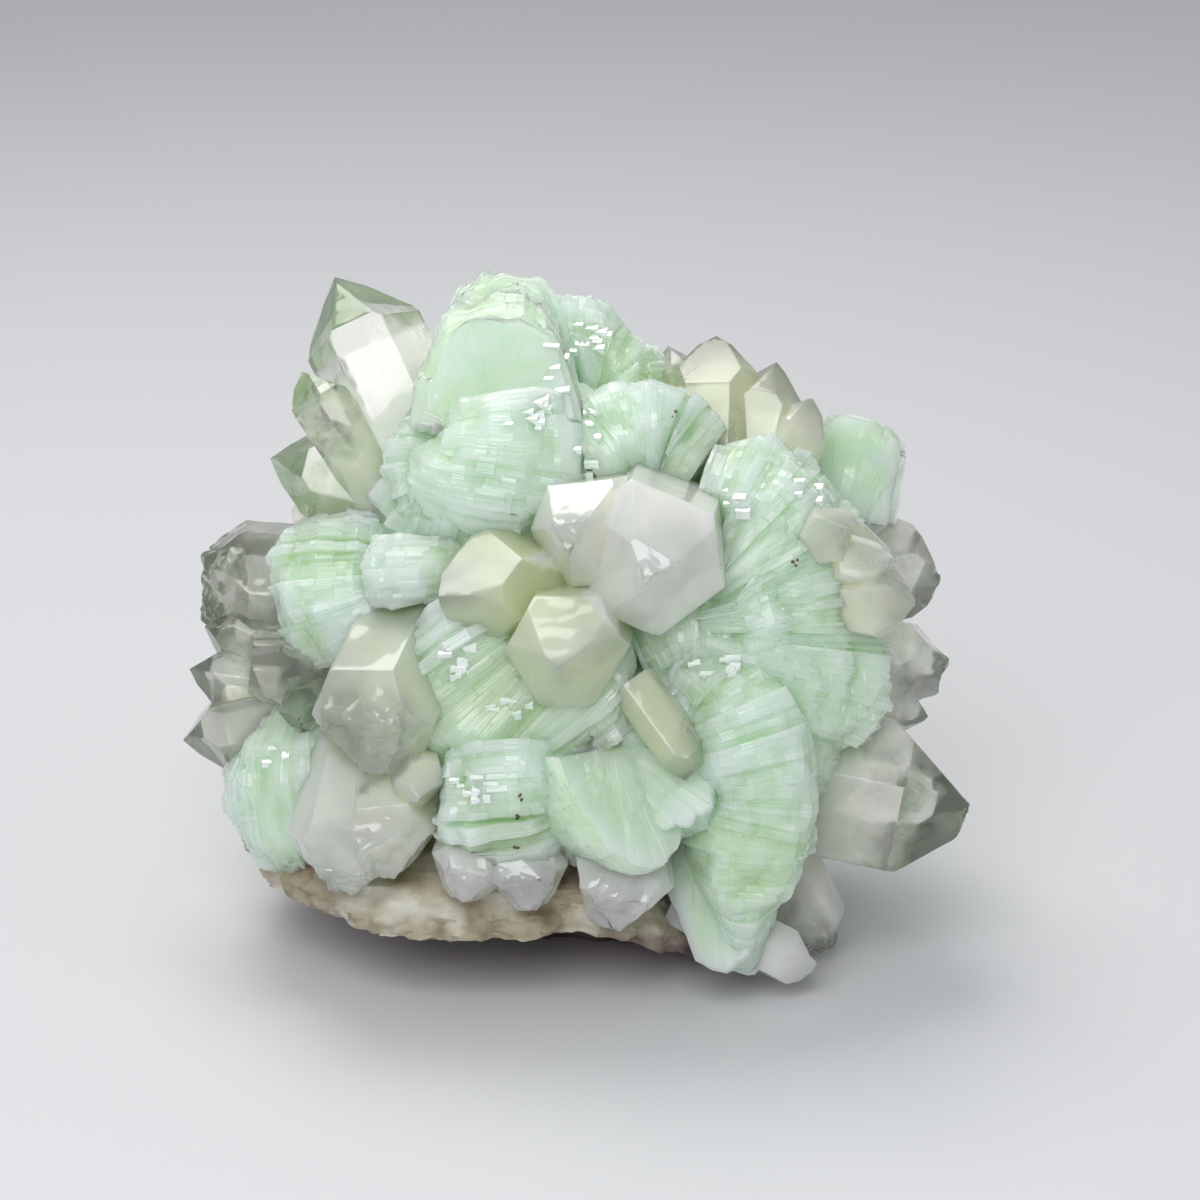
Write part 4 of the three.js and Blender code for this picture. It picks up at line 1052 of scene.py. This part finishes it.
def crystal_values(places, crystals):
    """For each place on the crystals: its nearness to the root, and how olive and clear its crystal is."""
    nearest = np.full(len(places), 1e9)
    cloudy = np.zeros(len(places))
    olive = np.zeros(len(places))
    clear = np.zeros(len(places))
    for crystal in crystals:
        start = seen(crystal["root"])
        end = seen(crystal["tip"])
        axis = end - start
        share = np.clip((places - start) @ axis / axis.dot(axis), 0, 1)
        gap = np.linalg.norm(places - start - share[:, None] * axis, axis=1) / crystal["width"]
        closer = gap < nearest
        nearest[closer] = gap[closer]
        cloudy[closer] = (1 - share)[closer]
        olive[closer] = crystal.get("olive", 0)
        clear[closer] = crystal.get("clear", 0)
    return {"root": cloudy, "olive": olive, "clear": clear}


def quartz_material(name, body, tint, density, milk, clearest, cloudiest, haze):
    """Clear towards the tip and milky towards the root, with veils between, under glassy faces."""
    material, shader, join = new_material(f"{name}_crystal", IOR=1.544, Coat_Roughness=0.04,
                                          Coat_Weight=COAT_ON_HAZE * haze, Subsurface_Weight=0.9,
                                          Subsurface_Radius=(1.0, 0.95, 0.8), Subsurface_Scale=3.0 * MM)
    place = new_node(material, "TexCoord")
    veils = new_node(material, "TexNoise", Scale=190, Detail=6, Distortion=0.5)
    ripples = new_node(material, "TexNoise", Scale=700)
    cloudy = new_sum(material)
    clear = new_node(material, "MapRange", From_Min=VEILS_START - milk, From_Max=VEILS_FULL - milk,
                     To_Min=clearest, To_Max=cloudiest)
    through_it = new_sum(material)
    through_it.use_clamp = True
    bump = new_node(material, "Bump", Strength=0.12, Distance=0.05 * MM)
    gloss = new_node(material, "MapRange", To_Min=LEAST_HAZE * haze, To_Max=MOST_HAZE * haze)
    own = new_mix(material, A=(*body, 1), B=(*OLIVE_BODY, 1))
    colour = new_mix(material, A=(*CLEAR_BODY, 1))
    absorb = new_node(material, "VolumeAbsorption", Color=(*tint, 1), Density=density)
    for node in (veils, ripples):
        join(place.outputs["Object"], node.inputs["Vector"])
    join(kept_value(material, "root"), cloudy.inputs[0])
    join(veils.outputs["Fac"], cloudy.inputs[1])
    join(cloudy.outputs["Value"], clear.inputs["Value"])
    join(clear.outputs["Result"], through_it.inputs[0])
    join(kept_value(material, "clear"), through_it.inputs[1])
    join(through_it.outputs["Value"], shader.inputs["Transmission Weight"])
    join(kept_value(material, "olive"), own.inputs["Factor"])
    join(own.outputs["Result"], colour.inputs["B"])
    join(cloudy.outputs["Value"], colour.inputs["Factor"])
    join(colour.outputs["Result"], shader.inputs["Base Color"])
    join(ripples.outputs["Fac"], bump.inputs["Height"])
    join(bump.outputs["Normal"], shader.inputs["Normal"])
    join(veils.outputs["Fac"], gloss.inputs["Value"])
    join(gloss.outputs["Result"], shader.inputs["Roughness"])
    join(absorb.outputs["Volume"], material.node_tree.nodes["Material Output"].inputs["Volume"])
    return material


quartz_finishes = {name: quartz_material(name, **finish) for name, finish in QUARTZ_FINISHES.items()}
for node, (slot, crystals) in QUARTZ_GROUPS.items():
    points = [quartz_point(f"{node}_{number}", **crystal) for number, crystal in enumerate(crystals)]
    cluster = grown_together(f"{node}_crystals", points)
    for value, at_vertices in crystal_values(vertices_of(cluster), crystals).items():
        keep_value(cluster, value, at_vertices)
    smooth(cluster, QUARTZ_SHARP_ANGLE)
    cluster.data.materials.append(quartz_finishes[slot])
    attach(cluster, "root")
    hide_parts(node)

# Floor and light: a plain pale floor, a wide soft light above and a little behind, as the shadow
# falls to the front, and a weak one at the front left.
LIT_PLACE = (0, 0, 20 * MM)
FLOOR_HALF = 900
FLOOR_GREY = (0.72, 0.72, 0.74, 1)
floor_corners = FLOOR_HALF * np.array([(-1, -1, 0), (1, -1, 0), (1, 1, 0), (-1, 1, 0)])
floor = solid("floor", floor_corners, [(0, 1, 2, 3)])
floor.data.materials.append(new_material("pale_floor", Base_Color=FLOOR_GREY, Roughness=0.8)[0])
SOFT_LIGHTS = [
    {"name": "key", "place": KEY_LIGHT, "size": 200, "power": 0.55, "colour": (1.0, 0.99, 0.96)},
    {"name": "front", "place": (-60, -300, 290), "size": 240, "power": 0.8, "colour": (0.98, 0.99, 1.0)},
]
for light in SOFT_LIGHTS:
    lamp = bpy.data.objects.new(light["name"], bpy.data.lights.new(light["name"], "AREA"))
    lamp.data.size = light["size"] * MM
    lamp.data.energy = light["power"]
    lamp.data.color = light["colour"]
    lamp.location = np.array(light["place"]) * MM
    pointing(lamp, LIT_PLACE)
    bpy.context.collection.objects.link(lamp)
world = bpy.data.worlds.new("studio")
world.use_nodes = True
set_sockets(world.node_tree.nodes["Background"], Color=(0.94, 0.97, 1.0, 1), Strength=0.42)
bpy.context.scene.world = world
bpy.context.scene.view_settings.view_transform = "Standard"
